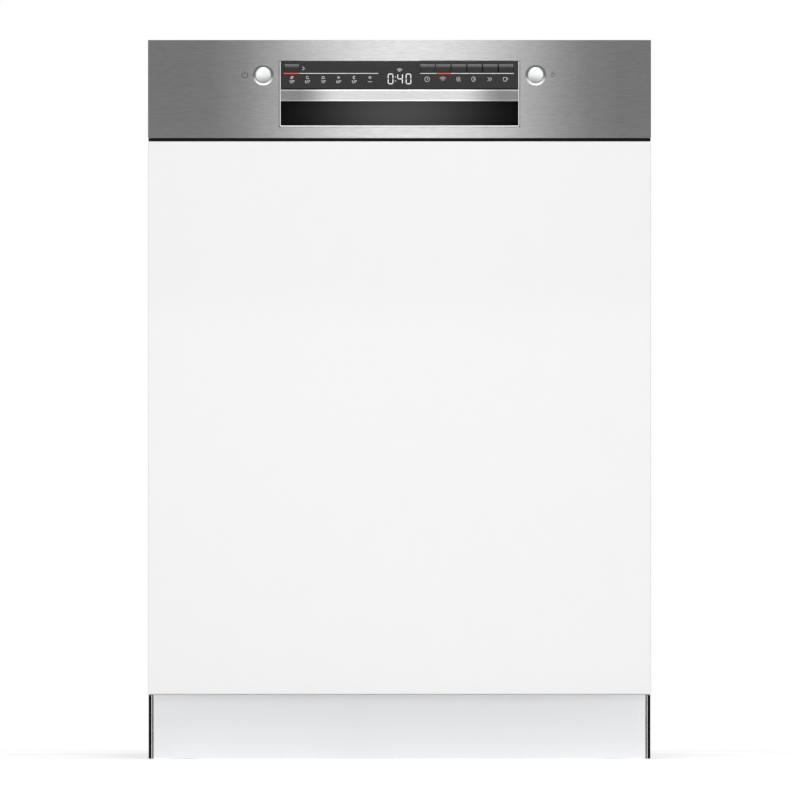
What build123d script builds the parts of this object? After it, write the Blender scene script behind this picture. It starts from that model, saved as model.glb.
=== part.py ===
"""Built-in dishwasher of the 600 mm class, as an assembly of separate pieces.

Millimetres. +Z is up, the front faces -Y, the origin is the bottom centre of the bounding box.
Each piece is one function that returns a shape; the last lines write parts/NAME.step for each.
"""

import os

from build123d import *

# Overall sizes
WIDTH = 598.0
HEIGHT = 856.0
DEPTH = 573.0
W2 = WIDTH / 2
D2 = DEPTH / 2

# Door front: panel, console and the trim strip between them
BUTTON_PROUD = 1.2
FACE_Y = -D2 + BUTTON_PROUD
PANEL_T = 19.0
PANEL_Z0 = 77.3
CONSOLE_H = 116.5
TRIM_GAP = 4.0
CONSOLE_Z = HEIGHT - CONSOLE_H
PANEL_Z1 = CONSOLE_Z - TRIM_GAP
FASCIA_T = 1.5
FASCIA_BACK_Y = FACE_Y + FASCIA_T

# Window recess of the console, with the key panel above and the grip below
WINDOW_HALF = 142.5
RECESS_Z0 = HEIGHT - 102.8
RECESS_Z1 = HEIGHT - 25.0
GLASS_Z0 = HEIGHT - 57.8
GRIP_BAR_H = 15.0
GRIP_BAR_DEPTH = 11.0
GRIP_DEPTH = 34.0
GLASS_Y = FACE_Y + 1.0
GLASS_T = 2.4
CARRIER_Y = FACE_Y + 3.7
CARRIER_T = 2.5
BOARD_Y = FACE_Y + 16.8
BOARD_T = 1.6

# Keys and buttons
ROUND_X = 162.0
ROUND_Z = HEIGHT - 41.6
ROUND_R = 9.5
ROUND_HOLE_R = 11.2
STEM_R = 4.0
KEY_W = 17.6
KEY_H = 9.8
KEY_PITCH = 18.7
KEY_GAP = 0.3
KEY_Z = HEIGHT - 33.6
PROGRAM_KEY_X = -127.9
OPTION_KEY_X = 33.3
OPTION_KEYS = 6
KEY_FACE_Y = FACE_Y + 0.3
KEY_CAP_T = 1.8
BUTTON_CAP_T = 3.1
RUN_FIT = 0.05

# Door hinge and door body
HINGE_Y = FACE_Y + 27.3
HINGE_Z = 125.0
PIN_R = 5.0
ARM_EYE_R = 8.0
BRACKET_GAP = 1.3
BRACKET_T = 3.0
LINER_Y = FACE_Y + 67.3
SHEET = 0.8
OUTER_Y = FACE_Y + PANEL_T + 0.3
DOOR_BODY_Z0 = HINGE_Z + 10.0
LINER_Z1 = HEIGHT - 21.0
LINER_HALF = W2 - 5.0

# Plinth and base
PLINTH_Y = LINER_Y - 4.0
PLINTH_T = 16.0
PLINTH_TOP = 80.0
PLINTH_HALF = W2 - 5.8
END_TRIM_SET_BACK = 2.0
FLOOR_GAP = 0.6
BASE_Y0 = PLINTH_Y + PLINTH_T
BASE_Y1 = D2 - 14.5
BASE_HALF = W2 - 11.0
BASE_Z0 = 56.0
BASE_WALL = 4.0

# Tub
TUB_HALF = W2 - 18.0
TUB_Y0 = LINER_Y + 9.0
TUB_Y1 = D2 - 18.5
TUB_Z0 = 165.0
TUB_Z1 = HEIGHT - 20.0
TUB_IN = TUB_HALF - SHEET
TUB_FLOOR = TUB_Z0 + SHEET
TUB_H = TUB_Z1 - TUB_Z0
MOUTH_HALF = TUB_HALF - 7.0
MOUTH_Z1 = TUB_Z1 - 13.0

# Wash system
HUB_Y = (TUB_Y0 + TUB_Y1) / 2
FILTER_X = 85.0
FILTER_Y = HUB_Y - 100.0
FILTER_R = 38.0
SALT_X = -150.0
SALT_Y = HUB_Y + 90.0
SALT_NECK_R = 30.0
SALT_BORE_R = 26.0
SALT_BODY_R = 55.0
SALT_BASE_Z = 95.0
SALT_SHOULDER_Z = 160.0
SALT_CAP_R = 34.0
SALT_CAP_T = 8.0
SALT_PLUG_L = 18.0
HUB_R = 20.0
SUMP_X0, SUMP_X1 = -85.0, 145.0
SUMP_FRONT, SUMP_REAR = 165.0, 60.0
SUMP_Z0 = 100.0
WELL_Z = 116.0
STUB_L = 5.0
WASH_PUMP_Z = 108.0
DRAIN_PUMP_Z = 96.0
DRAIN_CHAMBER_SHARE = 0.375
MODULE_TOP = 106.0
LOWER_PIN_R = 8.0
LOWER_ARM_Z = 187.0
ARM_T = 11.0
UPPER_PIN_R = 6.0
SPRAY_R = min(TUB_IN, (TUB_Y1 - TUB_Y0) / 2) - 23.5

# Water tank beside the tub
TANK_GAP = 2.5
TANK_T = 12.0
TANK_Z0 = 250.0

# Racks: wire bars and their spacing
BAR = 3.5
RACK_Y0 = TUB_Y0 + 19.0
RACK_Y1 = TUB_Y1 - 40.0
LOWER_HALF = TUB_IN - 30.2
LOWER_Z = 225.0
LOWER_H = 140.0
UPPER_HALF = TUB_IN - 26.2
UPPER_Z = TUB_FLOOR + 0.5665 * TUB_H
UPPER_H = 145.0
MESH_PITCH = 40.0
WHEEL_R = 16.0
AXLE_R = 4.0
AXLE_L = 20.0
LEG_T = 4.0
WHEEL_Z = TUB_FLOOR + WHEEL_R + 0.2
WHEEL_FRONT_Y = RACK_Y0 + 85.0
WHEEL_REAR_Y = RACK_Y1 - 40.0

# Upper rack rails
RAIL_Z = UPPER_Z + 55.0
RAIL_H = 20.0
RAIL_SHEET = 1.2
RAIL_X0 = TUB_IN - 22.2
RAIL_X1 = TUB_IN - 8.0
ROLLER_R = 9.0

# Dispenser in the door liner
DISP_Z = TUB_FLOOR + 0.4465 * TUB_H
DISP_HALF_X = 93.0
DISP_HALF_Z = 55.0
DISP_DEPTH = 32.0
DISP_PROUD = 2.5
CAP_X = 55.0
CAP_PLUG_R = 12.0
LID_X0, LID_X1 = -90.0, 6.0
LID_HALF_Z = 44.0

# Feet
FOOT_R = 22.0
FOOT_STEM_R = 7.0
FOOT_PAD_T = 8.0
FOOT_TOP = 115.0
BOSS_R = 16.0
FRONT_FOOT_X = W2 - 44.0
FRONT_FOOT_Y = BASE_Y0 + 26.0
REAR_FOOT_Y = BASE_Y1 - 37.0
BOSS_TOP = 130.0
FEET = ((-FRONT_FOOT_X, FRONT_FOOT_Y), (FRONT_FOOT_X, FRONT_FOOT_Y), (0.0, REAR_FOOT_Y))

# Services at the back of the base
SERVICE_Z = 100.0
INLET_X = 205.0
INLET_R = 13.2
DRAIN_X = -205.0
SPIGOT_R = 10.5
SOCKET_X = 120.0
PIN_PITCH = 7.0
SERVICE_INSET = 0.5

# Top frame and latch
CROSSBAR_Y0 = LINER_Y + 4.0
WORKTOP_HOLE_X = 200.0
WORKTOP_HOLE_R = 2.5
STRIKER_Z = HEIGHT - 13.5

# Screws of the door edge
SCREW_X = LINER_HALF - 1.8
SCREW_R = 1.4

# Digit display behind the key panel
DISPLAY_HALF = 16.5
DISPLAY_Z0 = HEIGHT - 51.5
DISPLAY_Z1 = HEIGHT - 33.5

# Folding pieces of the racks
SHELF_PIN_R = 1.8
SHELF_X = -UPPER_HALF + 9.0
SHELF_W = 90.0
SHELF_Y0 = RACK_Y0 + 62.0
SHELF_Y1 = RACK_Y1 - 62.0
SHELF_Z = UPPER_Z + 97.0
UPPER_ARM_Z = UPPER_Z - 12.0 - 3.0 - ARM_T
TINES = 9
TINE_R = 1.6
TINE_H = 75.0
TINE_X0 = -LOWER_HALF + 14.0
TINE_X1 = -4.0
TINE_Y = RACK_Y0 + 255.0
TINE_Z = LOWER_Z + BAR + 6.0


def block(x0, x1, y0, y1, z0, z1):
    """A box between two limits on each axis."""
    centre = Pos((x0 + x1) / 2, (y0 + y1) / 2, (z0 + z1) / 2)
    return centre * Box(abs(x1 - x0), abs(y1 - y0), abs(z1 - z0))


def rod_x(x0, x1, y, z, r):
    """A round bar along X."""
    return Pos((x0 + x1) / 2, y, z) * Cylinder(r, abs(x1 - x0), rotation=(0, 90, 0))


def rod_y(x, y0, y1, z, r):
    """A round bar along Y."""
    return Pos(x, (y0 + y1) / 2, z) * Cylinder(r, abs(y1 - y0), rotation=(90, 0, 0))


def rod_z(x, y, z0, z1, r):
    """A round bar along Z."""
    return Pos(x, y, (z0 + z1) / 2) * Cylinder(r, abs(z1 - z0))


def both_sides(make):
    """The two mirrored copies of a piece made for side +1 and side -1."""
    return [make(1), make(-1)]


def mesh_sketch(w, h, pitch=MESH_PITCH):
    """A rectangle of bars: the outline less a grid of rectangular windows."""
    nx = max(1, round((w - BAR) / pitch))
    nz = max(1, round((h - BAR) / pitch))
    hole_w = (w - BAR * (nx + 1)) / nx
    hole_h = (h - BAR * (nz + 1)) / nz
    holes = GridLocations(hole_w + BAR, hole_h + BAR, nx, nz) * Rectangle(hole_w, hole_h)
    return Rectangle(w, h) - holes


def mesh_floor(x0, x1, y0, y1, z):
    """A flat grid of bars lying in a rack's floor."""
    return Pos((x0 + x1) / 2, (y0 + y1) / 2, z) * extrude(mesh_sketch(x1 - x0, y1 - y0), BAR)


def mesh_wall_xz(x0, x1, y, z0, z1):
    """An upright grid across the rack, one bar thick from y."""
    plane = Plane(origin=((x0 + x1) / 2, y, (z0 + z1) / 2), x_dir=(-1, 0, 0), z_dir=(0, 1, 0))
    return plane * extrude(mesh_sketch(x1 - x0, z1 - z0), BAR)


def mesh_wall_yz(x, y0, y1, z0, z1):
    """An upright grid along the rack's side, one bar thick from x towards +X."""
    plane = Plane(origin=(x, (y0 + y1) / 2, (z0 + z1) / 2), x_dir=(0, 1, 0), z_dir=(1, 0, 0))
    return plane * extrude(mesh_sketch(y1 - y0, z1 - z0), BAR)


def rack_box(half, z, height):
    """Floor and four walls of a rack, face to face."""
    side_y0, side_y1 = RACK_Y0 + BAR, RACK_Y1 - BAR
    return [
        mesh_floor(-half, half, RACK_Y0, RACK_Y1, z),
        mesh_wall_xz(-half, half, RACK_Y0, z + BAR, z + height),
        mesh_wall_xz(-half, half, RACK_Y1 - BAR, z + BAR, z + height),
        mesh_wall_yz(-half, side_y0, side_y1, z + BAR, z + height),
        mesh_wall_yz(half - BAR, side_y0, side_y1, z + BAR, z + height),
    ]


def tine_comb(x0, x1, y, z, count, height, r=TINE_R):
    """A row of upright tines on one cross wire."""
    comb = rod_x(x0, x1, y, z, r)
    step = (x1 - x0 - 20.0) / (count - 1)
    for i in range(count):
        comb += rod_z(x0 + 10.0 + i * step, y, z, z + height, r)
    return comb


# The cabinet: base, feet bosses, tub, skins


def base_tray():
    """Moulded base: floor, walls, foot bosses and the drain hose spigot."""
    floor = block(-BASE_HALF, BASE_HALF, BASE_Y0, BASE_Y1, BASE_Z0, BASE_Z0 + BASE_WALL)
    z0, z1 = BASE_Z0 + BASE_WALL, TUB_Z0
    front = block(-BASE_HALF, BASE_HALF, BASE_Y0, BASE_Y0 + BASE_WALL, z0, z1)
    rear = block(-BASE_HALF, BASE_HALF, BASE_Y1 - BASE_WALL, BASE_Y1, z0, z1)
    rear -= rod_y(INLET_X, BASE_Y1 - BASE_WALL, BASE_Y1, SERVICE_Z, INLET_R + 0.3)
    y0, y1 = BASE_Y0 + BASE_WALL, BASE_Y1 - BASE_WALL
    x0, x1 = BASE_HALF - BASE_WALL, BASE_HALF
    sides = both_sides(lambda s: block(s * x0, s * x1, y0, y1, z0, z1))
    bosses = []
    for x, y in FEET:
        floor -= rod_z(x, y, BASE_Z0, z0, FOOT_STEM_R + RUN_FIT)
        boss = rod_z(x, y, z0, BOSS_TOP, BOSS_R) - rod_z(x, y, z0, BOSS_TOP, FOOT_STEM_R + RUN_FIT)
        bosses.append(boss)
    end = D2 - SERVICE_INSET
    spigot = rod_y(DRAIN_X, BASE_Y1, end, SERVICE_Z, SPIGOT_R)
    spigot -= rod_y(DRAIN_X, BASE_Y1, end, SERVICE_Z, SPIGOT_R - 2.0)
    return Compound([floor, front, rear, *sides, *bosses, spigot])


def foot(x, y):
    """Screw foot: a round pad and its threaded stem."""
    pad = rod_z(x, y, 0, FOOT_PAD_T, FOOT_R)
    pad = chamfer(pad.edges().filter_by(GeomType.CIRCLE).group_by(Axis.Z)[-1], 1.5)
    return pad + rod_z(x, y, FOOT_PAD_T, FOOT_TOP, FOOT_STEM_R)


def hinge_brackets():
    """Steel brackets beside the base, each with the pin the door swings on."""

    def one(s):
        x0 = s * (BASE_HALF + BRACKET_GAP)
        x1 = s * (BASE_HALF + BRACKET_GAP + BRACKET_T)
        arm = block(x0, x1, HINGE_Y, BASE_Y0 + 50, HINGE_Z - 6, HINGE_Z + 6)
        arm += rod_x(x0, x1, HINGE_Y, HINGE_Z, 6)
        arm += block(s * BASE_HALF, x1, BASE_Y0 + 10, BASE_Y0 + 50, HINGE_Z - 14, HINGE_Z + 22)
        return arm + rod_x(s * (BASE_HALF - 4.5), x0, HINGE_Y, HINGE_Z, PIN_R)

    return Compound(both_sides(one))


def tub():
    """Stainless tub: floor with its three holes, walls, top and front flange."""
    salt = SALT_NECK_R + 0.5
    floor = block(SALT_X + salt, TUB_HALF, TUB_Y0, TUB_Y1, TUB_Z0, TUB_FLOOR)
    floor -= rod_z(FILTER_X, FILTER_Y, TUB_Z0, TUB_FLOOR, FILTER_R + 0.8)
    floor -= rod_z(0, HUB_Y, TUB_Z0, TUB_FLOOR, HUB_R + 0.3)
    strips = [
        block(-TUB_HALF, SALT_X - salt, TUB_Y0, TUB_Y1, TUB_Z0, TUB_FLOOR),
        block(SALT_X - salt, SALT_X + salt, TUB_Y0, SALT_Y - salt, TUB_Z0, TUB_FLOOR),
        block(SALT_X - salt, SALT_X + salt, SALT_Y + salt, TUB_Y1, TUB_Z0, TUB_FLOOR),
    ]
    sides = both_sides(lambda s: block(s * TUB_IN, s * TUB_HALF, TUB_Y0, TUB_Y1, TUB_FLOOR, TUB_Z1))
    back = block(-TUB_IN, TUB_IN, TUB_Y1 - SHEET, TUB_Y1, TUB_FLOOR, TUB_Z1)
    top = block(-TUB_IN, TUB_IN, TUB_Y0, TUB_Y1 - SHEET, TUB_Z1 - SHEET, TUB_Z1)
    y0, y1 = TUB_Y0 - SHEET, TUB_Y0
    flange = both_sides(lambda s: block(s * MOUTH_HALF, s * (TUB_HALF + 5), y0, y1, TUB_Z0, TUB_Z1))
    flange.append(block(-MOUTH_HALF, MOUTH_HALF, y0, y1, MOUTH_Z1, TUB_Z1))
    flange.append(block(-TUB_HALF - 5, TUB_HALF + 5, y0, y1, TUB_Z0 - 12, TUB_Z0))
    return Compound([floor, *strips, *sides, back, top, *flange])


def door_gasket():
    """Rubber seal round the sides and top of the tub mouth."""
    y0, y1 = LINER_Y + 0.4, TUB_Y0 - SHEET
    z1 = MOUTH_Z1 + 11
    x0, x1 = MOUTH_HALF + 1, MOUTH_HALF + 11
    sides = both_sides(lambda s: block(s * x0, s * x1, y0, y1, TUB_FLOOR + 0.2, z1))
    return Compound([*sides, block(-x0, x0, y0, y1, MOUTH_Z1 + 1, z1)])


def side_panels():
    """Outer side sheets with a narrow fold at the front and rear."""
    z0, z1 = PLINTH_TOP + 2, HEIGHT - 6.5

    def one(s):
        outer, inner = s * (W2 - 0.5), s * (W2 - 1.3)
        fold = s * (W2 - 5.7)
        sheet = block(inner, outer, TUB_Y0, D2 - 1, z0, z1)
        front = block(fold, inner, TUB_Y0, TUB_Y0 + SHEET, z0, z1)
        rear = block(fold, inner, D2 - 1 - SHEET, D2 - 1, z0, z1)
        return [sheet, front, rear]

    return Compound([p for side in both_sides(one) for p in side])


def back_panel():
    """Galvanised sheet over the back of the tub, with two breather holes."""
    sheet = block(-W2 + 2, W2 - 2, D2 - SHEET, D2, TUB_Z0 + 5, HEIGHT - 6.5)
    for x in (-W2 / 2, W2 / 2):
        sheet -= rod_y(x, D2 - SHEET, D2, TUB_Z0 + 60, 12)
    return sheet


def top_cover():
    """Top sheet, front crossbar with two worktop screw holes, and the striker tongue."""
    z0 = HEIGHT - 6.0
    sheet = block(-W2 + 1.5, W2 - 1.5, CROSSBAR_Y0, D2 - 0.1, z0, z0 + 1)
    bar = block(-W2 + 6, W2 - 6, CROSSBAR_Y0, CROSSBAR_Y0 + 24, z0 - 12, z0)
    for x in (-WORKTOP_HOLE_X, WORKTOP_HOLE_X):
        hole = rod_z(x, CROSSBAR_Y0 + 14, z0 - 12, z0 + 1, WORKTOP_HOLE_R)
        sheet, bar = sheet - hole, bar - hole
    tongue = block(-10, 10, CROSSBAR_Y0 - 30, CROSSBAR_Y0, STRIKER_Z, STRIKER_Z + 3)
    tongue -= rod_z(0, CROSSBAR_Y0 - 22, STRIKER_Z, STRIKER_Z + 3, 3.0)
    return Compound([sheet, bar, tongue])


def plinth_panel():
    """Recessed kick board."""
    board = block(-PLINTH_HALF, PLINTH_HALF, PLINTH_Y, BASE_Y0, FLOOR_GAP, PLINTH_TOP)
    return fillet(board.faces().sort_by(Axis.Y)[0].edges(), 0.8)


def plinth_end_trims():
    """Dark end pieces at both ends of the kick board."""
    y0 = PLINTH_Y + END_TRIM_SET_BACK
    z0, z1 = FLOOR_GAP, PLINTH_TOP
    return Compound(both_sides(lambda s: block(s * PLINTH_HALF, s * W2, y0, BASE_Y0, z0, z1)))


# Under the tub: sump, pumps, containers, electrics


def sump():
    """Moulded sump with the filter well, the spray arm column and its pin."""
    y0, y1 = HUB_Y - SUMP_FRONT, HUB_Y + SUMP_REAR
    body = block(SUMP_X0, SUMP_X1, y0, y1, SUMP_Z0, TUB_Z0)
    body = fillet(body.edges().filter_by(Axis.Z), 20)
    body -= rod_z(FILTER_X, FILTER_Y, WELL_Z, TUB_Z0, FILTER_R + 0.6)
    body -= rod_z(FILTER_X, FILTER_Y, WELL_Z - STUB_L, WELL_Z, PIN_R + RUN_FIT)
    body += rod_z(0, HUB_Y, TUB_Z0, LOWER_ARM_Z - 1, HUB_R)
    arm_top = LOWER_ARM_Z + ARM_T
    body += rod_z(0, HUB_Y, LOWER_ARM_Z - 1, arm_top + 2, LOWER_PIN_R)
    return body + rod_z(0, HUB_Y, arm_top + 1, arm_top + 5, LOWER_PIN_R + 5)


def fine_filter():
    """Flat strainer plate on the tub floor round the filter and the column."""
    plate = block(-90, 150, FILTER_Y - 75, HUB_Y + 30, TUB_FLOOR, TUB_FLOOR + 1.2)
    plate = fillet(plate.edges().filter_by(Axis.Z), 25)
    plate -= rod_z(FILTER_X, FILTER_Y, TUB_FLOOR, TUB_FLOOR + 1.2, FILTER_R + 0.8)
    return plate - rod_z(0, HUB_Y, TUB_FLOOR, TUB_FLOOR + 1.2, HUB_R + 0.3)


def filter_cylinder():
    """Twist-out filter: cup, rim, finger grip and the stub it turns on."""
    z0, rim = WELL_Z + 0.4, TUB_FLOOR + 4
    half = FILTER_R - 3
    cup = rod_z(FILTER_X, FILTER_Y, z0, rim, FILTER_R)
    cup -= rod_z(FILTER_X, FILTER_Y, WELL_Z + 6, rim, half)
    cup += rod_z(FILTER_X, FILTER_Y, WELL_Z - STUB_L + 0.3, z0, PIN_R)
    y0, y1 = FILTER_Y - 2.5, FILTER_Y + 2.5
    return cup + block(FILTER_X - half, FILTER_X + half, y0, y1, TUB_Z0 - 15, TUB_FLOOR + 13)


def salt_container():
    """Softener salt container with its neck through the tub floor."""
    flange_z = TUB_FLOOR + 2.2
    body = rod_z(SALT_X, SALT_Y, SALT_BASE_Z, SALT_SHOULDER_Z, SALT_BODY_R)
    body += rod_z(SALT_X, SALT_Y, SALT_SHOULDER_Z, TUB_FLOOR, SALT_NECK_R)
    body += rod_z(SALT_X, SALT_Y, TUB_FLOOR, flange_z, SALT_NECK_R + 15)
    return body - rod_z(SALT_X, SALT_Y, SALT_BASE_Z + 10, flange_z, SALT_BORE_R)


def salt_cap():
    """Salt container cap: knurled disc, plug and finger rib."""
    z0 = TUB_FLOOR + 2.5
    rib_z = z0 + SALT_CAP_T
    cap = rod_z(SALT_X, SALT_Y, z0, rib_z, SALT_CAP_R)
    cap += rod_z(SALT_X, SALT_Y, z0 - SALT_PLUG_L, z0, SALT_BORE_R - RUN_FIT)
    return cap + block(SALT_X - 26, SALT_X + 26, SALT_Y - 4, SALT_Y + 4, rib_z, rib_z + 6)


def circulation_pump():
    """Wash pump: volute, motor can and feet."""
    y, z = HUB_Y + 120, WASH_PUMP_Z
    pump = rod_x(-60, -20, y, z, 38) + rod_x(-20, 110, y, z, 30)
    return pump + block(-40, 90, y - 20, y + 20, BASE_Z0 + BASE_WALL, z - 20)


def drain_pump():
    """Drain pump: chamber, motor and foot."""
    y, z = HUB_Y, DRAIN_PUMP_Z
    x0, x1 = SUMP_X1 + 20, BASE_HALF - 43
    neck = x0 + DRAIN_CHAMBER_SHARE * (x1 - x0)
    pump = rod_x(x0, neck, y, z, 26) + rod_x(neck, x1, y, z, 20)
    return pump + block(x0 + 10, x1 - 10, y - 12, y + 12, BASE_Z0 + BASE_WALL, z - 10)


def heat_exchanger():
    """Flat water tank on the left side of the tub."""
    x0, x1 = -TUB_HALF - TANK_GAP - TANK_T, -TUB_HALF - TANK_GAP
    tank = block(x0, x1, -D2 * 0.5, D2 * 0.5, TANK_Z0, 0.75 * HEIGHT)
    return fillet(tank.edges().filter_by(Axis.X), 25)


def control_module():
    """Power electronics in their own case behind the plinth."""
    x0, x1 = -FRONT_FOOT_X + BOSS_R + 14, SUMP_X0 - 20
    y0 = BASE_Y0 + 12
    case = block(x0, x1, y0, y0 + 80, BASE_Z0 + BASE_WALL, MODULE_TOP)
    return fillet(case.edges().filter_by(Axis.Z), 4)


def inlet_valve():
    """Water inlet valve: body, coil and the threaded hose spigot."""
    inner = BASE_Y1 - BASE_WALL
    body = block(INLET_X - 22, INLET_X + 22, inner - 44, inner, SERVICE_Z - 22, SERVICE_Z + 22)
    body += rod_y(INLET_X, inner, BASE_Y1, SERVICE_Z, INLET_R - 0.7)
    body += rod_y(INLET_X, BASE_Y1, D2 - SERVICE_INSET, SERVICE_Z, INLET_R)
    return body - rod_y(INLET_X, BASE_Y1, D2 - SERVICE_INSET, SERVICE_Z, 7)


def mains_socket():
    """Appliance inlet on the rear wall of the base, with its three pins."""
    face, floor = D2 - SERVICE_INSET, D2 - 11
    z = SERVICE_Z
    socket = block(SOCKET_X - 25, SOCKET_X + 25, BASE_Y1, face, z - 16, z + 16)
    socket -= block(SOCKET_X - 13, SOCKET_X + 13, floor, face, z - 9, z + 9)
    for x in (SOCKET_X - PIN_PITCH, SOCKET_X, SOCKET_X + PIN_PITCH):
        socket += block(x - 1, x + 1, floor, face - 2.5, z - 2, z + 2)
    return socket


def feed_pipe():
    """Flat riser on the tub's back wall with the docking cup for the upper rack."""
    z = UPPER_Z - 6
    riser = block(-20, 20, TUB_Y1 - SHEET - 10, TUB_Y1 - SHEET, TUB_FLOOR, z + 16)
    cup = rod_y(0, RACK_Y1 + 4, TUB_Y1 - SHEET - 10, z, 14)
    return riser + cup - rod_y(0, RACK_Y1 + 4, TUB_Y1 - SHEET - 12, z, 9.5)


# The door


def furniture_panel():
    """Front panel of the door."""
    panel = block(-W2, W2, FACE_Y, FACE_Y + PANEL_T, PANEL_Z0, PANEL_Z1)
    return fillet(panel.faces().sort_by(Axis.Y)[0].edges(), 1.0)


def door_outer_panel():
    """Steel sheet of the door body with folded sides and narrow returns."""
    x1, x0 = W2 - 3.0, W2 - 3.0 - SHEET
    y1 = LINER_Y - SHEET
    z1 = CONSOLE_Z + 0.5
    z0 = DOOR_BODY_Z0 + 6
    front = block(-x1, x1, OUTER_Y, OUTER_Y + SHEET, z0, z1)

    def side(s):
        wall = block(s * x0, s * x1, OUTER_Y + SHEET, y1, z0, z1)
        lip = block(s * (LINER_HALF - 3.6), s * x0, y1 - SHEET, y1, z0, z1)
        for z in screw_heights():
            lip -= rod_y(s * SCREW_X, y1 - SHEET, y1, z, SCREW_R + RUN_FIT)
        return [wall, lip]

    return Compound([front, *[p for pair in both_sides(side) for p in pair]])


def screw_heights():
    """Heights of the four screws on each edge of the door."""
    span = PANEL_Z1 - 30 - (DOOR_BODY_Z0 + 30)
    return [DOOR_BODY_Z0 + 30 + span * i / 3 for i in range(4)]


def door_inner_liner():
    """Stainless inner face of the door with the dispenser cut-out and two folds."""
    y0, y1 = LINER_Y - SHEET, LINER_Y
    face = block(-LINER_HALF, LINER_HALF, y0, y1, DOOR_BODY_Z0, LINER_Z1)
    cut_x, cut_z = DISP_HALF_X + 0.3, DISP_HALF_Z + 0.3
    face -= block(-cut_x, cut_x, y0, y1, DISP_Z - cut_z, DISP_Z + cut_z)
    for s in (-1, 1):
        for z in screw_heights():
            face -= rod_y(s * SCREW_X, y0, y1, z, SCREW_R + RUN_FIT)
    x0, x1 = BASE_HALF + 1, BASE_HALF + 1 + SHEET
    folds = both_sides(lambda s: block(s * x0, s * x1, HINGE_Y - 4, y0, DOOR_BODY_Z0, LINER_Z1))
    return Compound([face, *folds])


def hinge_arms():
    """Steel arms fixed inside the door, each bored for the hinge pin."""

    def one(s):
        x0, x1 = s * (BASE_HALF - 3), s * (BASE_HALF + 1)
        arm = rod_x(x0, x1, HINGE_Y, HINGE_Z, ARM_EYE_R)
        arm += block(x0, x1, HINGE_Y - 7, HINGE_Y + ARM_EYE_R, HINGE_Z, HINGE_Z + 40)
        arm += block(x0, x1, HINGE_Y - 5, HINGE_Y + 30, HINGE_Z + 25, HINGE_Z + 135)
        return arm - rod_x(x0, x1, HINGE_Y, HINGE_Z, PIN_R + RUN_FIT)

    return Compound(both_sides(one))


def door_screws():
    """Pan head screws that hold the liner to the door sheet."""
    screws = []
    for s in (-1, 1):
        for z in screw_heights():
            screw = rod_y(s * SCREW_X, LINER_Y - 5, LINER_Y, z, SCREW_R)
            head = rod_y(s * SCREW_X, LINER_Y, LINER_Y + 1.3, z, 2.4)
            screws.append(screw + head)
    return Compound(screws)


def lower_door_seal():
    """Rubber strip under the tub mouth, on the door's inner face."""
    z0 = TUB_Z0 - 15
    strip = block(-MOUTH_HALF + 24, MOUTH_HALF - 24, LINER_Y, TUB_Y0 - 1.5, z0, z0 + 10)
    return fillet(strip.faces().sort_by(Axis.Y)[-1].edges().filter_by(Axis.X), 2.5)


def console_fascia():
    """Brushed sheet of the console: face, folds, window opening and button holes."""
    face = block(-W2, W2, FACE_Y, FASCIA_BACK_Y, CONSOLE_Z, HEIGHT)
    window = block(-WINDOW_HALF, WINDOW_HALF, FACE_Y, FASCIA_BACK_Y, RECESS_Z0, RECESS_Z1)
    face -= window
    rim = [e for e in face.faces().sort_by(Axis.Y)[0].edges() if inside_window(e)]
    face = chamfer(rim, 1.2)
    for x in (-ROUND_X, ROUND_X):
        face -= rod_y(x, FACE_Y, FASCIA_BACK_Y, ROUND_Z, ROUND_HOLE_R)
        flare = Cone(ROUND_HOLE_R + 0.7, ROUND_HOLE_R, 1.4, rotation=(-90, 0, 0))
        face -= Pos(x, FACE_Y, ROUND_Z) * flare
    y1 = LINER_Y - 6
    top = block(-W2, W2, FASCIA_BACK_Y, y1, HEIGHT - FASCIA_T, HEIGHT)
    bottom = block(-W2, W2, FASCIA_BACK_Y, FASCIA_BACK_Y + 12, CONSOLE_Z, CONSOLE_Z + FASCIA_T)
    z0, z1 = CONSOLE_Z + FASCIA_T, HEIGHT - FASCIA_T
    ends = both_sides(lambda s: block(s * (W2 - FASCIA_T), s * W2, FASCIA_BACK_Y, y1, z0, z1))
    return Compound([face, top, bottom, *ends])


def inside_window(edge):
    """True for the face edges that bound the window opening."""
    c = edge.center()
    return abs(c.X) < WINDOW_HALF + 0.1 and RECESS_Z0 - 0.1 < c.Z < RECESS_Z1 + 0.1


def key_positions():
    """Centres of the rectangular keys: the program key, then the option keys."""
    return [PROGRAM_KEY_X] + [OPTION_KEY_X + i * KEY_PITCH for i in range(OPTION_KEYS)]


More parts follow.
